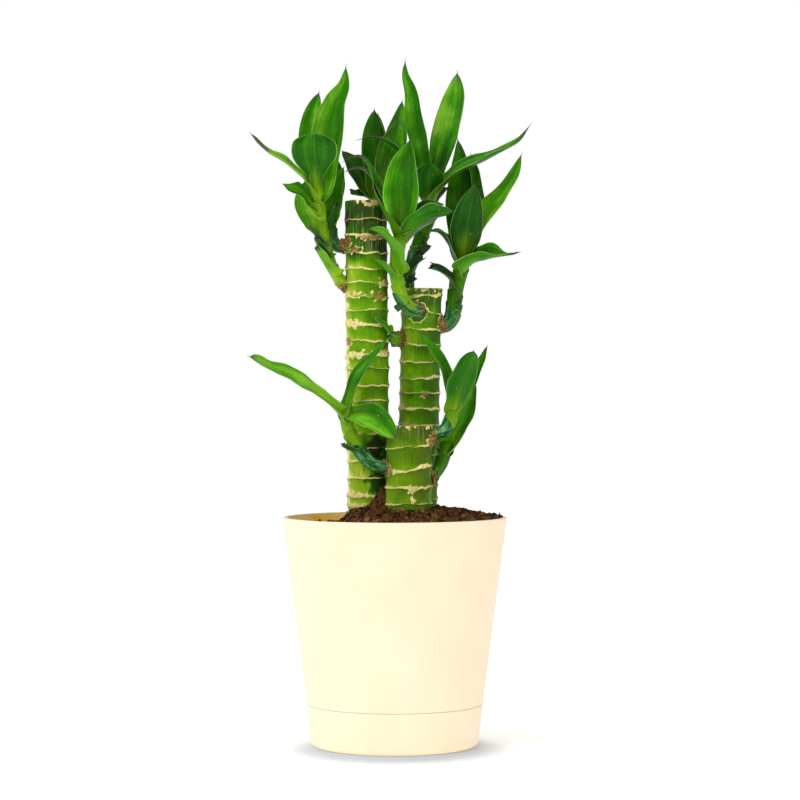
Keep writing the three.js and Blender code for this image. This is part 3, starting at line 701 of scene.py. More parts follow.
def closed_cane(cane, rng):
    """The cane's side with its worn rim and cut face on top: rings that shrink to the middle while
    the dried pith sinks a little."""
    size, height, angle, values = cane_part(cane, rng)
    worn = 1 - CANE["worn"] * np.linspace(CANE["worn_from"], 1, len(CANE["rim"])) ** 2
    face = np.linspace(*CANE["face"], CANE["face_rings"])
    shrink = np.concatenate([worn, face])
    sunken = CANE["bevel"] - CANE["sunken"] * smooth(*CANE["sunken_over"], face)
    rise = np.concatenate([CANE["bevel"] * np.array(CANE["rim"]), sunken])[:, None]
    face_size = size[-1] * shrink[:, None]
    fleck = layer(around_axis(face_size, angle[0], 0), rng, *RELIEF["cut_face"])
    face_height = height[-1] + rise + fleck * smooth(*CANE["flecks_over"], shrink)[:, None]
    cut = np.concatenate([np.zeros(len(size)), smooth(*CANE["cut_over"], shrink)])[:, None]
    size = np.vstack([size, face_size])
    height = np.vstack([height, face_height])
    angle = np.broadcast_to(angle[0], size.shape)
    for name, value in values.items():
        values[name] = np.vstack([value, np.broadcast_to(value[-1], face_size.shape)])
    grid = around_axis(size, angle, height)
    grid[..., :2] += cane_middle_line(cane, height)
    return tube(grid, cut=cut, **values)


# %% [markdown]
# The skin is living bark: green with a thin waxy cuticle, so it is satin, with fine fibres running
# up the cane. Where an old leaf foot shaded it, it is pale, and on its lit edges that pale is partly
# painted light. Painted shade darkens the skin between the canes, just below each scar and towards
# the right side. The scars are cork: cream to tan, rusty in patches and quite matt. Fibres are about
# half a millimetre wide, too fine for the render, so the noise that draws them is 0.9 mm across and
# stretched up the cane.
#
# Each material lays its colours over one another like coats of paint: a loop adds one Mix node for
# each coat, with the share of the skin that the coat covers.

# %% Cane skin
def cane_material():
    """Green skin by tone, bleached to olive along its fibres, dry fibres where the cane dried out,
    dark buds, cork where the scar distance is below 0, and pale pith on the cut face."""
    material, tree = new_material("living_bark_with_cork_scars")
    read = {name: add(tree, "Attribute", attribute_name=name).outputs["Fac"]
            for name in ("scar", "rust", "tone", "dry", "cut", "bud", "olive")}
    place = places_in_mm(tree)
    upright = add(tree, "Mapping", {"Vector": place, "Scale": (1, 1, 0.06)})
    fibre = add(tree, "TexNoise", {"Vector": upright, "Scale": 1 / 0.9, "Detail": 3})
    blotch = add(tree, "TexNoise", {"Vector": place, "Scale": 1 / 7, "Detail": 4})
    speck = add(tree, "TexNoise", {"Vector": place, "Scale": 1 / 1.4, "Detail": 4, "Roughness": 0.65})
    shade = read["tone"]
    for noise, weight in ((fibre, 0.3), (blotch, 0.34)):
        shade = add(tree, "Math", {0: noise, 1: weight, 2: shade}, operation="MULTIPLY_ADD")
    shade = add(tree, "Math", {0: shade, 1: 0.32}, operation="SUBTRACT")
    green = add(tree, "ValToRGB", {0: shade}, stops=[
        (0.0, "#2e2b18"), (0.12, "#243f10"), (0.2, "#29520c"), (0.4, "#376a02"), (0.55, "#528603"),
        (0.7, "#6f9e06"), (0.85, "#9db02a"), (1.0, "#ecdea0")])
    aged = add(tree, "Math", {0: fibre, 1: read["olive"]}, operation="MULTIPLY")
    strand = add(tree, "MapRange", {"Value": fibre, "From Min": 0.56, "From Max": 0.7,
                                    "To Max": 0.75})
    strands = add(tree, "Math", {0: strand, 1: read["dry"]}, operation="MULTIPLY")
    frayed = add(tree, "Math", {0: speck, 1: 0.9, 2: read["scar"]}, operation="MULTIPLY_ADD")
    on_scar = add(tree, "MapRange", {"Value": frayed, "From Min": 0.56, "From Max": 0.26})
    corky = add(tree, "ValToRGB", {0: speck}, stops=[
        (0.25, "#b0944a"), (0.45, "#e0cc80"), (0.62, "#f6eaaa"), (0.8, "#fdf6cc")])
    rusty = add(tree, "ValToRGB", {0: speck}, stops=[
        (0.25, "#452a13"), (0.5, "#7b5527"), (0.75, "#b8935a")])
    cork = add(tree, "Mix", {"Factor": read["rust"], "A": corky, "B": rusty}, data_type="RGBA")
    pith = add(tree, "ValToRGB", {0: speck}, stops=[
        (0.3, "#8d7444"), (0.5, "#bda872"), (0.7, "#d9cba0")])
    colour = green
    for share, coat in ((aged, linear("#9c7c1c")), (strands, linear("#8f9a6a")),
                        (read["bud"], linear("#123b26")), (on_scar, cork), (read["cut"], pith)):
        colour = add(tree, "Mix", {"Factor": share, "A": colour, "B": coat}, data_type="RGBA")
    rough = add(tree, "MapRange", {"Value": on_scar, "To Min": 0.42, "To Max": 0.85})
    relief = add(tree, "Math", {0: speck, 1: on_scar, 2: fibre}, operation="MULTIPLY_ADD")
    bump = add(tree, "Bump", {"Height": relief, "Strength": 0.5, "Distance": 0.0003})
    shader = add(tree, "BsdfPrincipled", {
        "Base Color": colour, "Roughness": rough, "IOR": 1.4, "Specular IOR Level": 0.22,
        "Specular Tint": linear("#f0f0b0"), "Normal": bump})
    add(tree, "OutputMaterial", {"Surface": shader})
    return material


bark = cane_material()
CANE_SEED = 40
for number, (name, cane) in enumerate(CANES.items()):
    rng = np.random.default_rng(CANE_SEED + number)
    make_piece(f"{name}_bark", closed_cane(cane, rng), bark, name)

# %% [markdown]
# ## Soil
# The pot is filled with coconut fibre: dark brown crumbs and short fibres. It lies low on the left,
# where the inner wall shows, and is heaped on the right and up between the canes. The bed is one
# closed surface on the solid's own height formula, roughened, and loose crumbs lie on it.

# %% Soil bed
# crumble lists the height and size of the bed's unevenness and the number of its waves.
SOIL = dict(low=126.5, heap=10.5, slope=(-35, -22), rim=(25, 62), rim_drop=0.45, ridge=13,
            ridge_at=(-6, -7.5), ridge_size=8, gap=0.3, sides=320, rings=120, step=12, tone=0.5,
            crumble=((0.5, 5, 20), (0.34, 2.2, 30), (0.2, 1.1, 30)))


def soil_height(x, y):
    """The low level, plus the heap that fades in from the left and sinks by a part near the rim,
    plus the ridge: e to the minus square of the distance from its top over its size."""
    near_rim = smooth(*SOIL["rim"], np.hypot(x, y))
    heap = smooth(*SOIL["slope"], x) * (1 - SOIL["rim_drop"] * near_rim)
    apart = np.hypot(x - SOIL["ridge_at"][0], y - SOIL["ridge_at"][1])
    return SOIL["low"] + SOIL["heap"] * heap + SOIL["ridge"] * bell(apart, SOIL["ridge_size"])


def soil_bed(rng):
    """A profile turned round the axis: over the floor, up the wall, and back to the middle on top,
    where each point takes the soil's height and a crumbly unevenness."""
    gap = SOIL["gap"]
    edge = inner_radius(SOIL["low"]) - gap
    foot = inside_foot - gap
    floor_level = inside_floor + gap
    below = dense([(PROFILE["core"], floor_level), (foot - fillet, floor_level),
                   (foot, floor_level + fillet), (foot, neck), (inner_radius(shoulder) - gap, shoulder),
                   (edge, SOIL["low"] - 1)], SOIL["step"])
    top = np.linspace((edge, 0), (PROFILE["core"], 0), SOIL["rings"])
    radius, height = np.vstack([below, top]).T[:, :, None]
    grid = around_axis(radius, steps_round(SOIL["sides"]), height)
    crest = grid[len(below):]
    flat = crest * (1, 1, 0)
    uneven = sum(high * bumps(flat, rng, size, waves) for high, size, waves in SOIL["crumble"])
    crest[..., 2] = soil_height(crest[..., 0], crest[..., 1]) + uneven
    return tube(grid, tone=SOIL["tone"])


# %% Crumbs and fibres
# Sizes in mm. spread is how unequal a crumb's three ways are, rise the share of its size by which
# its middle lies above the bed, and jitter how far its corners stray. A fibre wanders by up to
# about walk at each joint, lies that high over the bed and is lifted by up to lift more.
CRUMB = dict(count=2300, size=(0.45, 1.25), power=1.5, spread=0.42, rise=0.35, jitter=0.05,
             from_wall=1.2, from_cane=0.6)
FIBRE = dict(count=150, joints=6, sides=5, walk=(1.1, 1.1, 0.25), radius=0.16, lie=0.5, lift=0.3,
             tone=(0.8, 1.2))


def icosahedron():
    """Its 12 corners are those of three golden rectangles, one in each plane, and its edges are
    1.05 long. Its faces are the triples of near corners, in the order that makes them face outward:
    that of a positive determinant."""
    golden = (1 + 5 ** 0.5) / 2
    longest = 1.1
    corners = unit(np.array([(a, b * golden, 0) for a in (-1, 1) for b in (-1, 1)], dtype=float))
    corners = np.concatenate([corners, np.roll(corners, 1, axis=1), np.roll(corners, 2, axis=1)])
    gaps = np.linalg.norm(corners[:, None] - corners[None], axis=-1)
    near = (gaps > 0) & (gaps < longest)
    triples = [(a, b, c) for a, b, c in combinations(range(len(corners)), 3)
               if near[a, b] and near[b, c] and near[a, c]]
    faces = [(a, b, c) if np.linalg.det(corners[[a, b, c]]) > 0 else (a, c, b) for a, b, c in triples]
    return corners, np.array(faces)


def crumb_parts(rng):
    """Crumbs are icosahedra pulled out of shape by random matrices, and one that a matrix turned
    inside out has its faces turned back. Fibres are thin tubes along random walks over the soil."""
    corners, faces = icosahedron()
    each = len(corners)
    angle = rng.uniform(0, TAU, CRUMB["count"])
    edge = inner_radius(SOIL["low"]) - CRUMB["from_wall"]
    reach = edge * np.sqrt(rng.uniform(0, 1, CRUMB["count"]))
    middle = around_axis(reach, angle, 0.0)
    middle[:, 2] = soil_height(middle[:, 0], middle[:, 1])
    clear = np.ones(len(middle), dtype=bool)
    for cane in CANES.values():
        aside = middle[:, :2] - cane_middle_line(cane, middle[:, 2])
        clear &= np.hypot(*aside.T) > cane["radius"] + CRUMB["from_cane"]
    middle = middle[clear]
    count = len(middle)
    size = rng.uniform(*CRUMB["size"], count) ** CRUMB["power"]
    pull = (np.eye(3) + CRUMB["spread"] * rng.normal(size=(count, 3, 3))) * size[:, None, None]
    middle[:, 2] += CRUMB["rise"] * size
    points = corners @ pull + middle[:, None] + CRUMB["jitter"] * rng.normal(size=(count, each, 3))
    inside_out = np.linalg.det(pull) < 0
    order = np.where(inside_out[:, None, None], faces[:, ::-1], faces)
    order = order + each * np.arange(count)[:, None, None]
    shade = np.repeat(rng.uniform(0, 1, count) ** 2, each)[:, None]
    crumbs = dict(points=points.reshape(-1, 3), corners=order.ravel(),
                  counts=np.full(order.size // 3, 3), values=dict(tone=shade))
    strands = []
    around = steps_round(FIBRE["sides"])
    for start in middle[rng.integers(0, count, FIBRE["count"])]:
        line = start + np.cumsum(rng.normal(size=(FIBRE["joints"], 3)) * FIBRE["walk"], axis=0)
        bed = soil_height(line[:, 0], line[:, 1])
        line[:, 2] = bed + FIBRE["lie"] + FIBRE["lift"] * rng.random(FIBRE["joints"])
        ahead = unit(np.gradient(line, axis=0))
        side = unit(np.cross(ahead, (0, 0, 1)))[:, None]
        up = np.cross(side, ahead[:, None])
        ring = side * np.cos(around)[:, None] - up * np.sin(around)[:, None]
        tone = rng.uniform(*FIBRE["tone"])
        strands.append(tube(line[:, None] + FIBRE["radius"] * ring, tone=tone))
    return [crumbs, *strands]


# %% [markdown]
# Coconut fibre is dead plant matter: quite matt, dark red-brown where damp and lighter on the dry
# edges of the crumbs.

# %% Soil material
soil_material, tree = new_material("damp_coconut_fibre")
place = places_in_mm(tree)
tone = add(tree, "Attribute", attribute_name="tone").outputs["Fac"]
grit = add(tree, "TexNoise", {"Vector": place, "Scale": 1 / 0.9, "Detail": 5, "Roughness": 0.7})
mixed = add(tree, "Math", {0: tone, 1: 0.45, 2: grit}, operation="MULTIPLY_ADD")
brown = add(tree, "ValToRGB", {0: mixed}, stops=[
    (0.4, "#140803"), (0.6, "#351b08"), (0.78, "#623c1a"), (0.96, "#8f6538")])
bump = add(tree, "Bump", {"Height": grit, "Strength": 0.8, "Distance": 0.0006})
shader = add(tree, "BsdfPrincipled", {"Base Color": brown, "Roughness": 0.95,
                                      "Specular IOR Level": 0.2, "Normal": bump})
add(tree, "OutputMaterial", {"Surface": shader})

SOIL_SEED = 11
rng = np.random.default_rng(SOIL_SEED)
make_piece("soil_bed", soil_bed(rng), soil_material, "soil", sharp=80)
make_piece("soil_crumbs", joined(crumb_parts(rng)), soil_material, "soil", sharp=30)

# %% [markdown]
# ## Shoots
# A shoot grows out of a cane at a node: a soft green stem, wrapped by the feet of its leaves, and a
# fan of lance-shaped leaves. The table below repeats the solids' own values, in millimetres: the
# stem's route with its radius at even steps, and for each leaf the route of its midrib, its flat
# width, the part of its length where it is widest (half way where none is given), the way its upper
# side faces and the angle by which its halves rise. A leaf that twists has a face_tip too. base is
# how far its foot clasps the stem, full and taper say how pointed it is towards its tip and its foot
# (a small power is a blunt end), and small marks a short torn sheath.
#
# The rest is colour. tone is 0 for the darkest leaf and 1 for the brightest. two
# makes one half brighter than the other, as painted light on the fold's two halves, rim the margins
# brighter than the middle, and low the foot brighter than the tip. glow is the yellow-green at the
# foot, partly the leaf's own colour and partly painted light shining through it, dry how far the
# whole leaf has withered, and an age over 1 dries more of the tip. A stem has its tone, the length in
# millimetres from the cane over which its leaf feet are old and dry, and the length of its woody
# collar.

# %% The shoots' routes and sizes
SHOOTS = {
    "shoot_tall_left": dict(
        cane="cane_tall", blade="bright",
        stem=dict(route=[(-27, 2, 267), (-32, 0, 270), (-36, -1, 277), (-39, -2, 284), (-42, -3, 293),
                         (-43.5, -3, 302), (-45, -3, 316)],
                  radius=[4.6, 3.4, 3.6, 4, 4.4, 4.6, 4], tone=0.82, old=-2, woody=3.5),
        leaves=[
            dict(route=[(-45, -3, 313), (-41.5, -5, 340), (-39, -6, 359), (-35, -6, 372), (-30, -5, 382),
                        (-28, -3, 395)],
                 width=18, widest=0.44, face=(0.35, -1, 0.1), fold=18, tone=0.66, two=-0.1, rim=0.1,
                 glow=0.1),
            dict(route=[(-45, 0, 314), (-48.5, 7, 340), (-49, 12, 357), (-47.5, 15, 370), (-44, 17, 382)],
                 width=14, widest=0.55, face=(0.1, -1, 0), fold=15, tone=0.66),
            dict(route=[(-45, -4, 314), (-45.5, -9, 328), (-46, -15, 338.5), (-46, -22, 346.5),
                        (-45.5, -29, 353)],
                 width=25, widest=0.74, face=(0, 0.8, 1), fold=-5, full=1.7, taper=3.8, tone=0.46, glow=1.6,
                 age=0.9),
            dict(route=[(-45, -4, 313), (-51, -9, 326), (-57, -11, 332), (-63, -14, 337), (-72, -18, 342),
                        (-78, -21, 347), (-83, -24, 353.5)],
                 width=7.5, widest=0.45, face=(0.2, -0.5, 1), fold=25, base=9, full=1.2, tone=0.95, glow=1,
                 age=1.3),
            dict(route=[(-44, -4, 306), (-52, -9, 317), (-59, -12, 321), (-65, -13, 325)],
                 width=15, face=(0.3, -0.7, 1), fold=20, base=8, tone=0.66),
            dict(route=[(-43, 0, 295), (-50, 6, 306), (-53.5, 11, 316), (-50.5, 15, 331)],
                 width=11, face=(0.3, -1, 0.1), fold=15, base=8, tone=0.88, two=0.1),
            dict(route=[(-35, -2, 271), (-40.5, -6, 279), (-47, -8, 289)],
                 width=10, widest=0.35, face=(1, 0.3, 0.6), fold=40, base=10, small=True, dry=0.1,
                 tone=0.95, glow=1.6),
            dict(route=[(-38, -3, 282), (-43, -7, 289), (-47, -9, 294)],
                 width=6, widest=0.4, face=(1, 0.3, 0.6), fold=30, base=8, small=True, tone=0.3),
            dict(route=[(-40, -4, 288), (-46, -8, 295), (-50, -9, 301)],
                 width=6, widest=0.4, face=(1, 0.3, 0.6), fold=30, base=8, small=True, tone=0.3),
        ],
    ),
    "shoot_tall_side": dict(
        cane="cane_tall", blade="dark",
        stem=dict(route=[(-27, 4, 290), (-33, 7, 290), (-36.5, 8.5, 294), (-37, 9, 302), (-37, 9, 311)],
                  radius=[4.2, 3.8, 3.6, 3, 2.8], tone=0.4, old=16, woody=3),
        leaves=[
            dict(route=[(-37, 7, 302), (-36.3, 5.5, 313), (-34.8, 2.5, 324), (-29.3, 1.5, 336)],
                 width=13, face=(-0.2, -1, 0.3), fold=22, taper=2, tone=0.66),
            dict(route=[(-38, 10, 307), (-37, 12, 323), (-33, 12, 341)],
                 width=14, face=(0.2, -1, 0.2), fold=15, tone=0.62),
            dict(route=[(-36.5, 7, 293), (-34.5, 4.5, 304), (-30.5, 4, 315)],
                 width=9, face=(-0.8, 0.5, 0.3), fold=30, base=8, small=True, dry=0.25,
                 tone=0.6),
        ],
    ),
    "shoot_tall_back": dict(
        cane="cane_tall", blade="dark",
        stem=dict(route=[(-14, 13, 302), (-12, 18.5, 306), (-10.5, 21.5, 312), (-10, 21, 321)],
                  radius=[4.6, 4, 4.2, 3.8], tone=0.4, old=6, woody=3),
        leaves=[
            dict(route=[(-11, 21, 316), (-11.5, 22.5, 330), (-12, 23, 347), (-12.5, 22, 360),
                        (-12, 20, 372)],
                 width=14.5, widest=0.55, face=(0, -1, 0.1), fold=14, tone=0.5),
            dict(route=[(-10, 23.5, 317), (-9.5, 34, 342), (-10, 38, 371)],
                 width=12, face=(0.3, -1, 0), fold=15, tone=0.35),
            dict(route=[(-9, 20, 317), (-6, 19, 329), (-2, 18, 347), (1, 17, 357), (2.5, 16, 366)],
                 width=17, widest=0.55, face=(0.3, -1, 0.1), fold=16, tone=0.56),
            dict(route=[(-8, 22, 318), (-2.5, 28, 339), (2, 34, 360), (4.5, 37, 379)],
                 width=14, face=(-0.3, -1, 0.1), fold=16, tone=0.6),
            dict(route=[(-12, 20, 316), (-18, 23, 327), (-24, 27, 338), (-32, 30, 348)],
                 width=14, face=(0.5, -1, 0.3), fold=18, base=8, tone=0.3),
            dict(route=[(-12, 20, 317), (-19, 18, 320), (-27, 16, 321)],
                 width=8, face=(0, -0.6, 1), fold=25, base=6, small=True, dry=0.3, tone=0.55),
        ],
    ),
    "shoot_middle_front": dict(
        cane="cane_middle", blade="bright",
        stem=dict(route=[(12.5, 1.5, 252), (9, -4, 253), (6, -6.5, 256), (3, -7.5, 262), (1.2, -8.5, 270),
                         (1, -9, 279), (2, -9.5, 288), (3, -10, 297)],
                  radius=[5, 4.4, 4.2, 4, 4, 4.2, 4.2, 3.6], tone=0.66, old=6, woody=0.6),
        leaves=[
            dict(route=[(3, -10, 291), (3.5, -14, 307), (4, -18, 324), (6, -20, 338), (9, -21, 350.5)],
                 width=20, face=(-0.1, -1, 0.35), fold=14, base=6, taper=3.4, tone=0.42,
                 rim=0.34, glow=0.35),
            dict(route=[(2, -9, 293), (-4, -11, 304), (-9, -11.5, 314), (-12.5, -8, 326), (-15.5, -5, 335),
                        (-19, -3, 340), (-25, -2, 340.5), (-31, -1, 338)],
                 width=9, widest=0.35, face=(0.8, -0.3, 0.5), face_tip=(0.3, -0.4, 1), fold=35, base=9,
                 tone=0.55, age=1.22),
            dict(route=[(2, -9, 293), (-3.5, -11.5, 304), (-8, -11.5, 317), (-12, -5, 327), (-17, -1, 333),
                        (-23, 1, 334.5), (-30, -1, 332)],
                 width=7, face=(0.8, -0.3, 0.5), face_tip=(0.2, -0.3, 1), fold=25, base=7,
                 tone=0.5, age=1.22),
            dict(route=[(1, -10, 272), (-1, -14, 283), (-5, -16, 292), (-10, -17, 297),
                        (-15.5, -17, 298.5)],
                 width=17, face=(0.8, 0.4, 0.5), face_tip=(0.1, -0.3, 1), fold=30, base=10,
                 full=1.2, tone=0.72),
            dict(route=[(2, -9, 265), (-3, -13, 273), (-7.5, -14, 278), (-12, -15, 281.5)],
                 width=7, face=(0.8, 0.2, 0.6), fold=35, base=9, tone=0.85),
            dict(route=[(4, -9.5, 294), (11, -11.5, 304), (20, -13, 310), (29, -14, 313)],
                 width=15, face=(-0.4, -0.8, 0.8), fold=15, base=8, tone=0.3),
            dict(route=[(3, -10, 288), (11, -16, 299), (21, -22, 305), (34, -26, 308.5)],
                 width=17, widest=0.55, face=(-0.2, 0.6, 1), fold=20, base=9, full=1.3, tone=0.5),
            dict(route=[(6.5, -8, 257), (3, -11, 254), (0, -11, 252)],
                 width=4, face=(0, -1, 0.5), fold=20, base=5, small=True, tone=0.3),
        ],
    ),
    "shoot_middle_back": dict(
        cane="cane_middle", blade="dark",
        stem=dict(route=[(12, 20, 254), (8.5, 24.5, 260), (7.5, 25, 268), (8.5, 24, 276), (11.5, 22, 285),
                         (16, 20.5, 297), (20, 19.5, 309), (21.5, 19, 319)],
                  radius=[5, 4, 3.6, 3.8, 4.4, 4.4, 4.4, 3.8], tone=0.4, old=30, woody=2),
        leaves=[
            dict(route=[(21, 19, 313), (18, 22, 335), (14.5, 23, 353), (12, 24, 366), (9.5, 24, 382),
                        (6.5, 23, 391), (6, 22, 401.5)],
                 width=11, face=(-0.5, -1, 0), fold=18, base=8, tone=0.68, two=-0.08, glow=0.25,
                 low=-0.1),
            dict(route=[(21, 21, 314), (26, 26, 340), (31, 30, 360), (34, 33, 373), (36.5, 34, 384),
                        (37, 34, 396)],
                 width=16, widest=0.6, face=(-0.3, -1, 0.1), fold=18, base=8, tone=0.8, two=-0.15, rim=0.08,
                 glow=0.1, low=-0.36),
            dict(route=[(21, 17, 312), (20, 12, 323), (19.5, 7, 331), (21, 1, 338)],
                 width=17, widest=0.6, face=(0, 0.8, 1), fold=14, tone=0.52, age=0.9),
            dict(route=[(22, 18, 312), (26, 15, 319), (31.5, 12, 325)],
                 width=8, face=(-0.3, 0.3, 1), fold=25, base=6, small=True, tone=0.3),
            dict(route=[(21, 18, 311), (26, 14, 322), (34, 10, 330), (43, 7, 336), (53, 3, 340),
                        (62, 0, 344), (72, -3, 350.5), (79, -6, 360.5)],
                 width=14, widest=0.4, face=(-0.3, -0.5, 1), fold=28, base=9, tone=0.6, age=1.08),
            dict(route=[(20, 17, 311), (14, 14, 330), (4, 10, 343), (-5, 7, 350), (-14, 4, 352.5),
                        (-23, 2, 351)],
                 width=7, face=(0.4, 0.1, 1), fold=20, base=7, tone=0.45, age=1.2),
            dict(route=[(9, 23, 274), (13, 18, 280), (18, 15, 284)],
                 width=8, widest=0.4, face=(-0.6, 0.7, 0.5), fold=35, base=8, small=True, tone=0.15),
            dict(route=[(12, 22, 282), (17, 17, 286), (21, 15, 291)],
                 width=8, widest=0.4, face=(-0.6, 0.7, 0.5), fold=35, base=8, small=True, tone=0.15),
            dict(route=[(8, 25, 262), (9, 22, 268), (13, 20.5, 272)],
                 width=8, widest=0.4, face=(-0.6, 0.7, 0.5), fold=30, base=9, small=True, tone=0.15),
        ],
    ),
    "shoot_middle_right": dict(
        cane="cane_middle", blade="bright",
        stem=dict(route=[(25, 12, 244), (31, 12, 245.5), (34, 12, 251), (35, 11.5, 260), (36.5, 11, 269),
                         (38.5, 10, 277), (39.5, 10, 285)],
                  radius=[5.2, 4.8, 4.8, 4.6, 4.6, 4.4, 3.8], tone=0.2, old=12, woody=4),
        leaves=[
            dict(route=[(39, 11, 277), (38, 15, 303), (38.5, 18, 326), (38.5, 19, 342), (36.5, 18, 355)],
                 width=15.5, face=(-0.2, -1, 0.1), fold=20, tone=0.42, low=-0.22),
            dict(route=[(38.5, 11, 279), (42.5, 22, 309), (44.5, 28, 327), (45, 32, 347)],
                 width=18, face=(0.2, -1, 0.1), fold=16, tone=0.2),
            dict(route=[(39, 9, 276), (41, 3, 292), (43, -2, 308), (45, -4, 318), (46.5, -5, 326.5)],
                 width=18, face=(-0.1, 1, 0.25), fold=12, taper=2.8, tone=0.14, glow=1),
            dict(route=[(40, 10, 278), (46.5, 10, 297), (55, 10, 311), (62, 9, 319), (68, 7, 328),
                        (71.5, 5, 336), (74, 3, 344.5)],
                 width=12, face=(-0.4, -1, 0.5), fold=24, tone=0.65, low=0.1),
            dict(route=[(39, 9, 273), (46, 4, 280), (54, 0, 282.5), (63, -4, 283), (73, -8, 286)],
                 width=19, widest=0.36, face=(-0.1, -0.35, 1), fold=44, base=10, full=3, tone=0.65,
                 glow=0.3, age=1.12),
            dict(route=[(37, 9, 271), (35, 5, 282), (31, 3, 291.5), (25.5, 1, 297.5), (19, 0, 298)],
                 width=12, widest=0.45, face=(0.6, -0.6, 0.6), face_tip=(0.2, -0.3, 1), fold=30, base=9,
                 tone=0.3),
            dict(route=[(36, 9.5, 261), (32, 5, 270), (26, 4, 275), (18, 3, 277.5)],
                 width=9, face=(0.5, -0.5, 0.7), fold=30, base=8, small=True, tone=0.25),
            dict(route=[(34, 11, 250), (38, 8, 254), (38, 7, 258)],
                 width=6, widest=0.4, face=(-0.8, 0.6, 0.4), fold=30, base=9, small=True, tone=0.3),
        ],
    ),
    "shoot_middle_left": dict(
        cane="cane_middle", blade="bright",
        stem=dict(route=[(6, 10, 235.5), (1.5, 7.5, 235.5), (0, 2, 236), (-2, -2, 238)],
                  radius=[4.6, 4.2, 3.4, 2.4], tone=0.5, old=3, woody=7),
        leaves=[
            dict(route=[(-1.5, -1, 237), (-5, -9, 240.5), (-9, -13.5, 245), (-13.5, -15.5, 249)],
                 width=8, widest=0.4, face=(0.6, -0.5, 0.8), fold=25, base=7, tone=0.7),
        ],
    ),
    "shoot_short_left": dict(
        cane="cane_short", blade="bright",
        stem=dict(route=[(-3, -16, 162), (-8, -18, 162), (-13, -20, 164), (-18, -21, 168.5),
                         (-22.5, -21, 175), (-26, -21, 182), (-28, -21, 190.5)],
                  radius=[4, 3.6, 4, 4.2, 4.2, 4, 3.6], tone=0.68, old=22, woody=2.6),
        leaves=[
            dict(route=[(-27, -21, 184), (-32, -22, 193), (-40, -23, 201), (-53, -26, 209.5),
                        (-68, -30, 217), (-84, -34, 226)],
                 width=14, widest=0.6, face=(0.3, -0.55, 1), fold=20, full=1, tone=0.86),
            dict(route=[(-27, -21, 186), (-24.5, -21, 202), (-19, -22, 215), (-11, -23, 226),
                        (-3, -24, 237)],
                 width=11, widest=0.45, face=(-0.9, -0.7, 0.5), fold=28, tone=0.48),
            dict(route=[(-30.2, -22, 192.4), (-25.5, -25, 192.2), (-19.2, -29, 192.2), (-12.4, -32, 190.6),
                        (-5.5, -35, 184.9), (1, -36, 177.9)],
                 width=15, widest=0.54, face=(0.2, -1, 0.45), fold=12, base=5, full=1.9, taper=3.2,
                 tone=0.62, two=0.2),
            dict(route=[(-22, -22, 171), (-26, -25, 172), (-31, -26, 175)],
                 width=7, widest=0.4, face=(0.7, 0.2, 0.8), fold=35, base=9, small=True, dry=0.5, tone=0.2),
        ],
    ),
    "shoot_short_right": dict(
        cane="cane_short", blade="bright",
        stem=dict(route=[(19, -14, 178.5), (24.5, -14, 181), (29, -14, 183.5), (32, -14.5, 188),
                         (33, -15, 195)],
                  radius=[4.4, 3.8, 4, 4, 3.6], tone=0.5, old=10, woody=3),
        leaves=[
            dict(route=[(33, -15, 188), (35.5, -19, 200), (40, -21, 214), (43, -22, 221),
                        (45.5, -22, 229.5)],
                 width=15, widest=0.55, face=(-0.3, 1, 0.2), fold=14, full=1.3, tone=0.5, glow=0.9),
            dict(route=[(32.5, -14, 189), (31.5, -12, 203), (28, -9, 218), (21.5, -7, 230),
                        (13, -6, 240.5)],
                 width=8, face=(0.5, -0.8, 0.5), fold=30, tone=0.6),
            dict(route=[(33.5, -13, 190), (42, -8, 205), (48.5, -4, 218), (54, 0, 232.5)],
                 width=8, face=(-0.6, -0.8, 0.4), fold=25, tone=0.45),
        ],
    ),
    "shoot_short_low": dict(
        cane="cane_short", blade="dark",
        stem=dict(route=[(19, -10.5, 155.5), (23.5, -7, 158), (26.5, -5, 163), (28.5, -4, 169),
                         (31, -4, 176)],
                  radius=[4.2, 3.6, 3.8, 3.8, 3.4], tone=0.5, old=6, woody=3),
        leaves=[
            dict(route=[(29.5, -4, 168), (36.5, -2, 184), (42.5, 1, 196), (47.5, 5, 210.5)],
                 width=15, widest=0.45, face=(-0.5, -1, 0.3), fold=24, tone=0.75, glow=0.8),
            dict(route=[(28.5, -4, 166), (29, 0, 180), (33, 2, 191)],
                 width=10, widest=0.45, face=(0.2, -1, 0.3), fold=30, small=True, tone=0.3),
        ],
    ),
}
leaf_count = sum(len(shoot["leaves"]) for shoot in SHOOTS.values())
print("shoots:", len(SHOOTS), "leaves and sheaths:", leaf_count)

# %% [markdown]
# A route of a few points becomes a smooth curve that passes through each of them: a cubic between
# two neighbours whose end slopes come from the points before and after, weighted by the square
# roots of the gaps. Along it go three directions: ahead, to the side, and up out of the leaf.

# %% Routes
CURVE_STEPS = 60


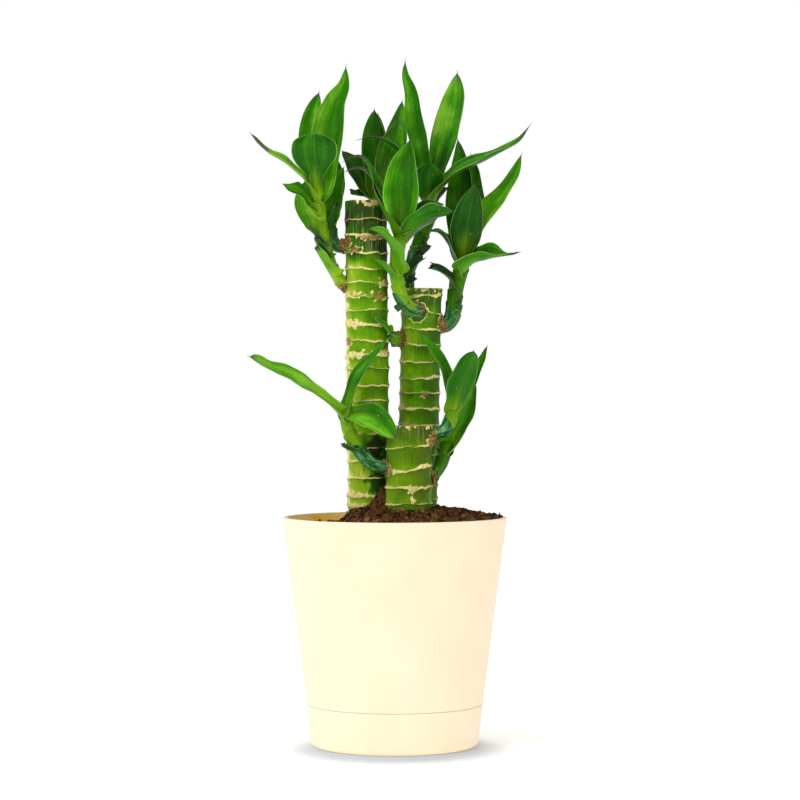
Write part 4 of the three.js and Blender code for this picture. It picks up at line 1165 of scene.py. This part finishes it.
def route_at(route, share):
    """Places and directions at shares of a route's length, and that length."""
    points = np.array(route, dtype=float)
    points = np.vstack([2 * points[0] - points[1], points, 2 * points[-1] - points[-2]])
    gap = np.linalg.norm(np.diff(points, axis=0), axis=1) ** 0.5
    span = np.repeat(np.arange(len(route) - 1), CURVE_STEPS)
    t = np.tile(np.arange(CURVE_STEPS) / CURVE_STEPS, len(route) - 1)[:, None]
    a, b, c, d = (points[span + step] for step in range(4))
    before, here, after = (gap[span + step][:, None] for step in range(3))
    start = here * ((b - a) / before - (c - a) / (before + here) + (c - b) / here)
    end = here * ((c - b) / here - (d - b) / (here + after) + (d - c) / after)
    line = (2 * t ** 3 - 3 * t ** 2 + 1) * b + (t ** 3 - 2 * t ** 2 + t) * start
    line += (3 * t ** 2 - 2 * t ** 3) * c + (t ** 3 - t ** 2) * end
    line = np.vstack([line, points[-2]])
    along = way_along(line)
    at = np.asarray(share) * along[-1]
    course = read_off(at, along, np.gradient(line, along, axis=0))
    return read_off(at, along, line), unit(course), along[-1]


def frame_at(route, face, face_tip, share):
    """Place, side and up at shares of a route: side is ahead crossed with the way that the upper
    face looks, and up is side crossed with ahead."""
    place, ahead, length = route_at(route, share)
    looks = blend(np.array(face, dtype=float), np.array(face_tip, dtype=float),
                  np.asarray(share)[..., None])
    side = unit(np.cross(ahead, looks))
    return place, side, np.cross(side, ahead), length


# %% [markdown]
# A leaf is a thin lens carried along its midrib. Its half width is a lance shape plus a clasping
# foot and a fine spur at the tip. Its section is half crease, half round gutter, so it has a soft
# fold along the midrib. Its margins wave a little, and shallow dents about 2 cm long break up the
# light on it. The two faces part by half a millimetre at the midrib and almost meet at the margin,
# as on the real leaf. Dry sheaths are the same surface with a torn end.

# %% Leaf surface
# The mesh has rows along the leaf and twice half and one columns across each face. Lengths are in
# mm and angles in degrees. What is a place along the leaf is a share of its length, from 0 at the
# foot to 1 at the tip, and a pair of them is where something starts and ends.
LEAF = dict(rows=74, half=10, widest=0.5, body=0.965, foot_fullness=2.3, tip_fullness=2.0, foot=7.5,
            foot_neck=0.08, foot_end=0.3, foot_fold=50, tip=0.12, spur=1.3, spur_from=0.92,
            thick=0.55, margin=0.16, thinner=0.6, thinner_over=(0.85, 1))
CREASE = dict(part=0.62, soft=0.1, over=(0.05, 0.4))
WAVE = dict(part=0.05, counts=(2.3, 2.7), dent=0.026, dent_size=17, opens=(0.2, 0.45), closes=(0.8, 1))
TORN = dict(width=0.8, teeth=2.6, depth=0.22, rough=0.1, dry=0.75)
# lean makes one half brighter, as painted light on the fold, and fades in from the foot. glow is
# the yellow-green at the foot, partly painted light shining through the leaf. The pattern starts
# apart steps further on for each leaf, so that no two are alike.
LOOK = dict(lean=0.07, lean_crisp=5, lean_over=(0.02, 0.3), low_over=(0.7, 0.2), glow=0.6,
            glow_over=(0.55, 0), glow_narrow=0.2, apart=17.0)


def half_width(leaf, share):
    """Half of: the width times the lance shape to the power of the fullness, plus the clasping
    foot and a thin spur at the tip. The lance is the share over the widest place, to the power of
    that place, times what is left of both, to the power of the rest."""
    widest = leaf.get("widest", LEAF["widest"])
    body = np.clip(share / LEAF["body"], 0, 1)
    lance = (body / widest) ** widest * ((1 - body) / (1 - widest)) ** (1 - widest)
    lance **= np.where(body > widest, leaf.get("full", LEAF["tip_fullness"]),
                      leaf.get("taper", LEAF["foot_fullness"]))
    if leaf.get("small"):
        lance = np.where(share > widest, np.maximum(lance, TORN["width"]), lance)
    clasp = smooth(-LEAF["foot_neck"], LEAF["foot_neck"], share)
    clasp *= 1 - smooth(LEAF["foot_neck"], LEAF["foot_end"], share)
    foot = leaf.get("base", LEAF["foot"])
    spur = LEAF["spur"] * smooth(1, LEAF["spur_from"], share)
    return (leaf["width"] * lance + foot * clasp + spur + LEAF["tip"]) / 2


def leaf_part(leaf, number, rng):
    """The middle surface: across it, an arc or a crease that both end at the folded margin, mixed.
    An arc of turn b has radius half width / (2 sin b). Waves that grow with the square of the way
    to the margin, and dents, are added upwards. Each face lies half a thickness off the middle
    along its normal."""
    rows = np.linspace(0, 1, LEAF["rows"])[:, None]
    across = np.linspace(-1, 1, 2 * LEAF["half"] + 1)[None, :]
    small = leaf.get("small", False)
    torn = 0.0
    if small:
        torn = TORN["depth"] * np.abs(((across * TORN["teeth"] + rng.random()) % 1) - 0.5)
        torn = torn + TORN["rough"] * rng.random(across.shape)
    share = rows * (1 - torn)
    place, side, up, length = frame_at(leaf["route"], leaf["face"],
                                       leaf.get("face_tip", leaf["face"]), share)
    half = half_width(leaf, share)
    turn = np.radians(blend(LEAF["foot_fold"], leaf["fold"], smooth(0, LEAF["foot_end"], share)))
    round_aside = half * np.sin(2 * turn * across) / (2 * np.sin(turn))
    round_rise = half * (1 - np.cos(2 * turn * across)) / (2 * np.sin(turn))
    soft = CREASE["soft"]
    crease = (np.hypot(across, soft) - soft) / (np.hypot(1, soft) - soft)
    mix = CREASE["part"] * smooth(*CREASE["over"], share)
    aside = blend(round_aside, half * np.cos(turn) * across, mix)
    rise = blend(round_rise, half * np.sin(turn) * crease, mix)
    phase = rng.uniform(0, TAU, 2)
    swing = np.where(across < 0, np.sin(TAU * WAVE["counts"][0] * share + phase[0]),
                     np.sin(TAU * WAVE["counts"][1] * share + phase[1]))
    open_part = smooth(*WAVE["opens"], share) * (1 - smooth(*WAVE["closes"], share))
    rise = rise + WAVE["part"] * leaf["width"] * swing * open_part * np.abs(across) ** 2
    middle = place + side * aside[..., None] + up * rise[..., None]
    dent = WAVE["dent"] * leaf["width"] * bumps(middle, rng, WAVE["dent_size"]) * open_part
    middle = middle + up * dent[..., None]
    normal = unit(np.cross(np.gradient(middle, axis=1), np.gradient(middle, axis=0)))
    thick = blend(LEAF["margin"], LEAF["thick"], 1 - across ** 2)
    thick = thick * (1 - LEAF["thinner"] * smooth(*LEAF["thinner_over"], share))
    offset = normal * thick[..., None] / 2
    grid = np.concatenate([middle + offset, (middle - offset)[:, ::-1]], axis=1)
    both = np.concatenate([across, across[:, ::-1]], axis=1)
    under = np.concatenate([0 * across, 0 * across + 1], axis=1)
    flat = np.stack(np.broadcast_arrays(both * leaf["width"] / 2, number * LOOK["apart"],
                                        rows * length), axis=-1)
    # painted light: one half of the leaf is made brighter than the other, standing in for the light on the
    # fold's two halves
    lean = leaf.get("two", LOOK["lean"] * rng.choice((-1, 1)))
    tone = leaf["tone"] + lean * np.tanh(LOOK["lean_crisp"] * both) * smooth(*LOOK["lean_over"], rows)
    tone += leaf.get("rim", 0) * np.abs(both) ** 2
    tone += leaf.get("low", 0) * smooth(*LOOK["low_over"], rows)
    # the yellow-green glow at the foot is partly painted light shining through the leaf
    glow = smooth(*LOOK["glow_over"], rows + LOOK["glow_narrow"] * np.abs(both))
    return tube(grid, along=rows * leaf.get("age", 1), across=both, under=under, tone=tone,
                glow=leaf.get("glow", LOOK["glow"]) * glow, dry=leaf.get("dry", TORN["dry"] * small),
                flat=flat)


# %% [markdown]
# A stem is a rod along its route. Stacked leaf feet give it steps: each foot widens upward and ends
# at an edge that runs obliquely round the stem. Where the stem leaves the cane it has a woody,
# scaly collar.

# %% Stem surface
# The leaf feet's edges lie a pitch apart, moved by up to shift, with none in the last millimetres,
# and turn on from foot to foot. unlike is how much a foot's tone differs from the next, darker what
# it loses upwards, and dry_edge how softly the dry part ends. The columns start at the front.
STEM = dict(rows=150, columns=32, pitch=8.5, shift=1.5, last=2, slope=2.6, turn=2.4, wander=0.35,
            step=0.75, unlike=0.14, darker=0.16, dry_edge=1, dry_creep=0.1, rounded_from=0.97,
            end=0.02, front=(0, -1, 0.01))
# The collar flares towards the bark and has scales, a share of a scale to the mm, and knobs.
COLLAR = dict(flare=0.5, flare_over=2, whole=0.4, ragged=0.8, scales=0.5, scale_share=0.7,
              scale_ragged=0.25, knobs=(0.5, 2.2))


def stem_part(shoot, number, rng):
    """Rings along the route. The edges of the leaf feet lie a pitch apart, and each is a slanted
    ring: its level plus the slope times the cosine of the angle from its high side. Between two
    edges the radius grows by the step in proportion to the way, and drops back at the edge. Near
    the cane it flares by e to the minus distance from the bark, and small knobs cover it."""
    rows = np.linspace(0, 1, STEM["rows"])[:, None]
    angle = steps_round(STEM["columns"])[None, :]
    stem = shoot["stem"]
    place, side, up, length = frame_at(stem["route"], STEM["front"], STEM["front"], rows[:, 0])
    radius = np.interp(rows, np.linspace(0, 1, len(stem["radius"])), stem["radius"])
    way = rows * length
    below = np.zeros((STEM["rows"], STEM["columns"]))
    above = below + length + STEM["pitch"] / 2
    tone = below + stem["tone"]
    levels = np.arange(STEM["pitch"], length - STEM["last"], STEM["pitch"])
    levels = levels + rng.uniform(-STEM["shift"], STEM["shift"], len(levels))
    for step, level in enumerate(levels):
        high_side = STEM["turn"] * (step + number)
        edge = level + STEM["slope"] * np.cos(angle - high_side)
        edge = edge + STEM["wander"] * ripple(angle, rng, lowest=1, waves=6)
        below = np.where(way > edge, np.maximum(below, edge), below)
        above = np.where(way <= edge, np.minimum(above, edge), above)
        tone = tone + np.where(way > edge, rng.uniform(-STEM["unlike"], STEM["unlike"]), 0)
    share = (way - below) / (above - below)
    tone = tone + STEM["darker"] * (0.5 - share)
    radius = radius + STEM["step"] * (share - 0.5)
    cane = CANES[shoot["cane"]]
    line = cane_middle_line(cane, place[:, 2])
    from_bark = np.linalg.norm(place[:, :2] - line, axis=1) - cane["radius"]
    out = way - length * np.argmax(from_bark > 0) / STEM["rows"]
    ragged = out + COLLAR["ragged"] * ripple(angle, rng, waves=8)
    collar = smooth(stem["woody"], stem["woody"] * COLLAR["whole"], ragged)
    last_dry = below + STEM["dry_creep"] * (way - below) + ripple(angle, rng, lowest=1, waves=5)
    dry = smooth(stem["old"] + STEM["dry_edge"], stem["old"] - STEM["dry_edge"], last_dry)
    scales = out * COLLAR["scale_share"] + COLLAR["scale_ragged"] * ripple(angle, rng, waves=9)
    scales = COLLAR["scales"] * np.abs(scales % 1 - 0.5)
    flare = COLLAR["flare"] * np.exp(-np.maximum(out, 0) / COLLAR["flare_over"])
    radius = radius + collar * (flare + scales)
    closing = np.maximum(smooth(1, STEM["rounded_from"], rows), STEM["end"])
    radius = radius * np.where(rows > STEM["rounded_from"], np.sqrt(closing), 1)
    ring = side[:, None] * np.cos(angle)[..., None] - up[:, None] * np.sin(angle)[..., None]
    grid = place[:, None] + ring * radius[..., None]
    grid = grid + ring * (collar * layer(grid, rng, *COLLAR["knobs"]))[..., None]
    flat = around_axis(radius, angle, way) + (0, number * LOOK["apart"], 0)
    return tube(grid, edge=above - way, collar=collar, dry=dry, flat=flat, tone=tone)


# %% [markdown]
# A leaf of the dragon plant is leathery and smooth, with a thin waxy skin: satin with soft
# highlights. Fine veins run side by side from foot to tip, about 0.5 mm apart, and the noise that
# draws them is widened to 1.1 mm so that it shows. The foot is yellow-green, partly its own colour
# and partly painted light shining through the leaf. The margin is a thin pale line that browns in
# places, the back is duller and bluer, and the tip ends dry and grey-brown. A few pale flecks of lime
# and dust lie on it.

# %% Leaf and stem materials
def leaf_material(name, greens):
    """A green by tone, veins, streaks and blotches, then coats for the back, the foot, the midrib,
    the margin, flecks, dry parts and the tip."""
    material, tree = new_material(name)
    read = {label: add(tree, "Attribute", attribute_name=label).outputs["Fac"]
            for label in ("along", "across", "under", "tone", "glow", "dry")}
    flat = add(tree, "Attribute", attribute_name="flat").outputs["Vector"]
    veins_place = add(tree, "Mapping", {"Vector": flat, "Scale": (1, 1, 0.035)})
    veins = add(tree, "TexNoise", {"Vector": veins_place, "Scale": 1 / 1.1, "Detail": 2})
    streak_place = add(tree, "Mapping", {"Vector": flat, "Scale": (1, 1, 0.12)})
    streak = add(tree, "TexNoise", {"Vector": streak_place, "Scale": 1 / 4, "Detail": 3})
    blotch = add(tree, "TexNoise", {"Vector": flat, "Scale": 1 / 11, "Detail": 3})
    speck = add(tree, "TexNoise", {"Vector": flat, "Scale": 1 / 1.6, "Detail": 1})
    shade = read["tone"]
    for noise, weight in ((veins, 0.36), (streak, 0.74), (blotch, 0.6)):
        shade = add(tree, "Math", {0: noise, 1: weight, 2: shade}, operation="MULTIPLY_ADD")
    shade = add(tree, "Math", {0: shade, 1: 0.85}, operation="SUBTRACT")
    back = add(tree, "Math", {0: read["under"], 1: 0.35}, operation="MULTIPLY")
    # the foot's yellow-green coat is partly painted light shining through the leaf
    streaky = add(tree, "MapRange", {"Value": streak, "From Min": 0.3, "From Max": 0.7,
                                     "To Min": 0.45, "To Max": 1.3})
    foot = add(tree, "Math", {0: read["glow"], 1: streaky}, operation="MULTIPLY", use_clamp=True)
    beside = add(tree, "Math", {0: read["across"]}, operation="ABSOLUTE")
    rib = add(tree, "MapRange", {"Value": beside, "From Min": 0.07, "From Max": 0.0,
                                 "To Max": 0.11})
    margin = add(tree, "MapRange", {"Value": beside, "From Min": 0.945, "From Max": 0.995,
                                    "To Max": 0.6})
    pale = add(tree, "ValToRGB", {0: blotch}, stops=[(0.5, "#a8d076"), (0.66, "#8a7c48")])
    fleck = add(tree, "MapRange", {"Value": speck, "From Min": 0.74, "From Max": 0.8,
                                   "To Max": 0.35})
    withered = add(tree, "Math", {0: streak, 1: read["dry"]}, operation="MULTIPLY")
    tip_reach = add(tree, "Math", {0: streak, 1: 0.14, 2: read["along"]}, operation="MULTIPLY_ADD")
    tip = add(tree, "MapRange", {"Value": tip_reach, "From Min": 0.97, "From Max": 1.06,
                                 "To Max": 0.85})
    colour = add(tree, "ValToRGB", {0: shade}, stops=greens)
    for share, coat in ((back, linear("#1a5c1c")), (foot, linear("#8db60a")),
                        (rib, linear("#8fb83e")), (margin, pale), (fleck, linear("#b4d47c")),
                        (withered, linear("#34463a")), (tip, linear("#4c4643"))):
        colour = add(tree, "Mix", {"Factor": share, "A": colour, "B": coat}, data_type="RGBA")
    rough = add(tree, "MapRange", {"Value": blotch, "To Min": 0.3, "To Max": 0.46})
    bump = add(tree, "Bump", {"Height": veins, "Strength": 0.45, "Distance": 0.0005})
    shader = add(tree, "BsdfPrincipled", {
        "Base Color": colour, "Roughness": rough, "IOR": 1.42, "Specular IOR Level": 0.2,
        "Specular Tint": linear("#dcf2a8"), "Normal": bump})
    add(tree, "OutputMaterial", {"Surface": shader})
    return material


def stem_material():
    """Green with fine upright veins, then coats: a thin pale line at each edge, teal-grey where the
    leaf feet have dried, and a brown scaly collar."""
    material, tree = new_material("soft_shoot_stem_with_woody_collar")
    read = {label: add(tree, "Attribute", attribute_name=label).outputs["Fac"]
            for label in ("edge", "collar", "dry", "tone")}
    flat = add(tree, "Attribute", attribute_name="flat").outputs["Vector"]
    veins_place = add(tree, "Mapping", {"Vector": flat, "Scale": (1, 1, 0.08)})
    veins = add(tree, "TexNoise", {"Vector": veins_place, "Scale": 1 / 1.2, "Detail": 3})
    speck = add(tree, "TexNoise", {"Vector": flat, "Scale": 1 / 1.3, "Detail": 4, "Roughness": 0.65})
    shade = add(tree, "Math", {0: veins, 1: 0.5, 2: read["tone"]}, operation="MULTIPLY_ADD")
    shade = add(tree, "Math", {0: shade, 1: 0.25}, operation="SUBTRACT")
    line = add(tree, "MapRange", {"Value": read["edge"], "From Min": 0.7, "From Max": 0.2,
                                  "To Max": 0.6})
    teal = add(tree, "ValToRGB", {0: veins}, stops=[
        (0.3, "#12391a"), (0.46, "#235a2a"), (0.57, "#478652"), (0.72, "#9dbc86")])
    brown = add(tree, "ValToRGB", {0: speck}, stops=[
        (0.25, "#3a2412"), (0.45, "#74502a"), (0.6, "#a88a54"), (0.75, "#d6c796")])
    colour = add(tree, "ValToRGB", {0: shade}, stops=[
        (0.0, "#133c06"), (0.25, "#285f05"), (0.5, "#478206"), (0.75, "#78a312"),
        (1.0, "#a6bd3e")])
    for share, coat in ((line, linear("#b5c77a")), (read["dry"], teal), (read["collar"], brown)):
        colour = add(tree, "Mix", {"Factor": share, "A": colour, "B": coat}, data_type="RGBA")
    rough = add(tree, "MapRange", {"Value": read["collar"], "To Min": 0.42, "To Max": 0.85})
    bump = add(tree, "Bump", {"Height": veins, "Strength": 0.4, "Distance": 0.0004})
    shader = add(tree, "BsdfPrincipled", {
        "Base Color": colour, "Roughness": rough, "IOR": 1.42, "Specular IOR Level": 0.24,
        "Specular Tint": linear("#dcf2a8"), "Normal": bump})
    add(tree, "OutputMaterial", {"Surface": shader})
    return material


BLADES = dict(
    bright=leaf_material("young_leaf_blade", [
        (0.0, "#0b2c02"), (0.2, "#144304"), (0.4, "#1f5c03"), (0.6, "#307a04"), (0.8, "#4f9b0d"),
        (1.0, "#83bf30")]),
    dark=leaf_material("mature_leaf_blade", [
        (0.0, "#082406"), (0.2, "#103806"), (0.4, "#194f06"), (0.6, "#276a07"), (0.8, "#448f0c"),
        (1.0, "#79b530")]),
)
stem_skin = stem_material()
print("leaf and stem materials:", len(BLADES) + 1)

# %% Grow the shoots
SHOOT_SEED = 70
for number, (name, shoot) in enumerate(SHOOTS.items()):
    rng = np.random.default_rng(SHOOT_SEED + number)
    leaves = [leaf_part(leaf, place, rng) for place, leaf in enumerate(shoot["leaves"])]
    make_piece(f"{name}_leaves", joined(leaves), BLADES[shoot["blade"]], name, sharp=70)
    make_piece(f"{name}_stem", stem_part(shoot, number, rng), stem_skin, name)
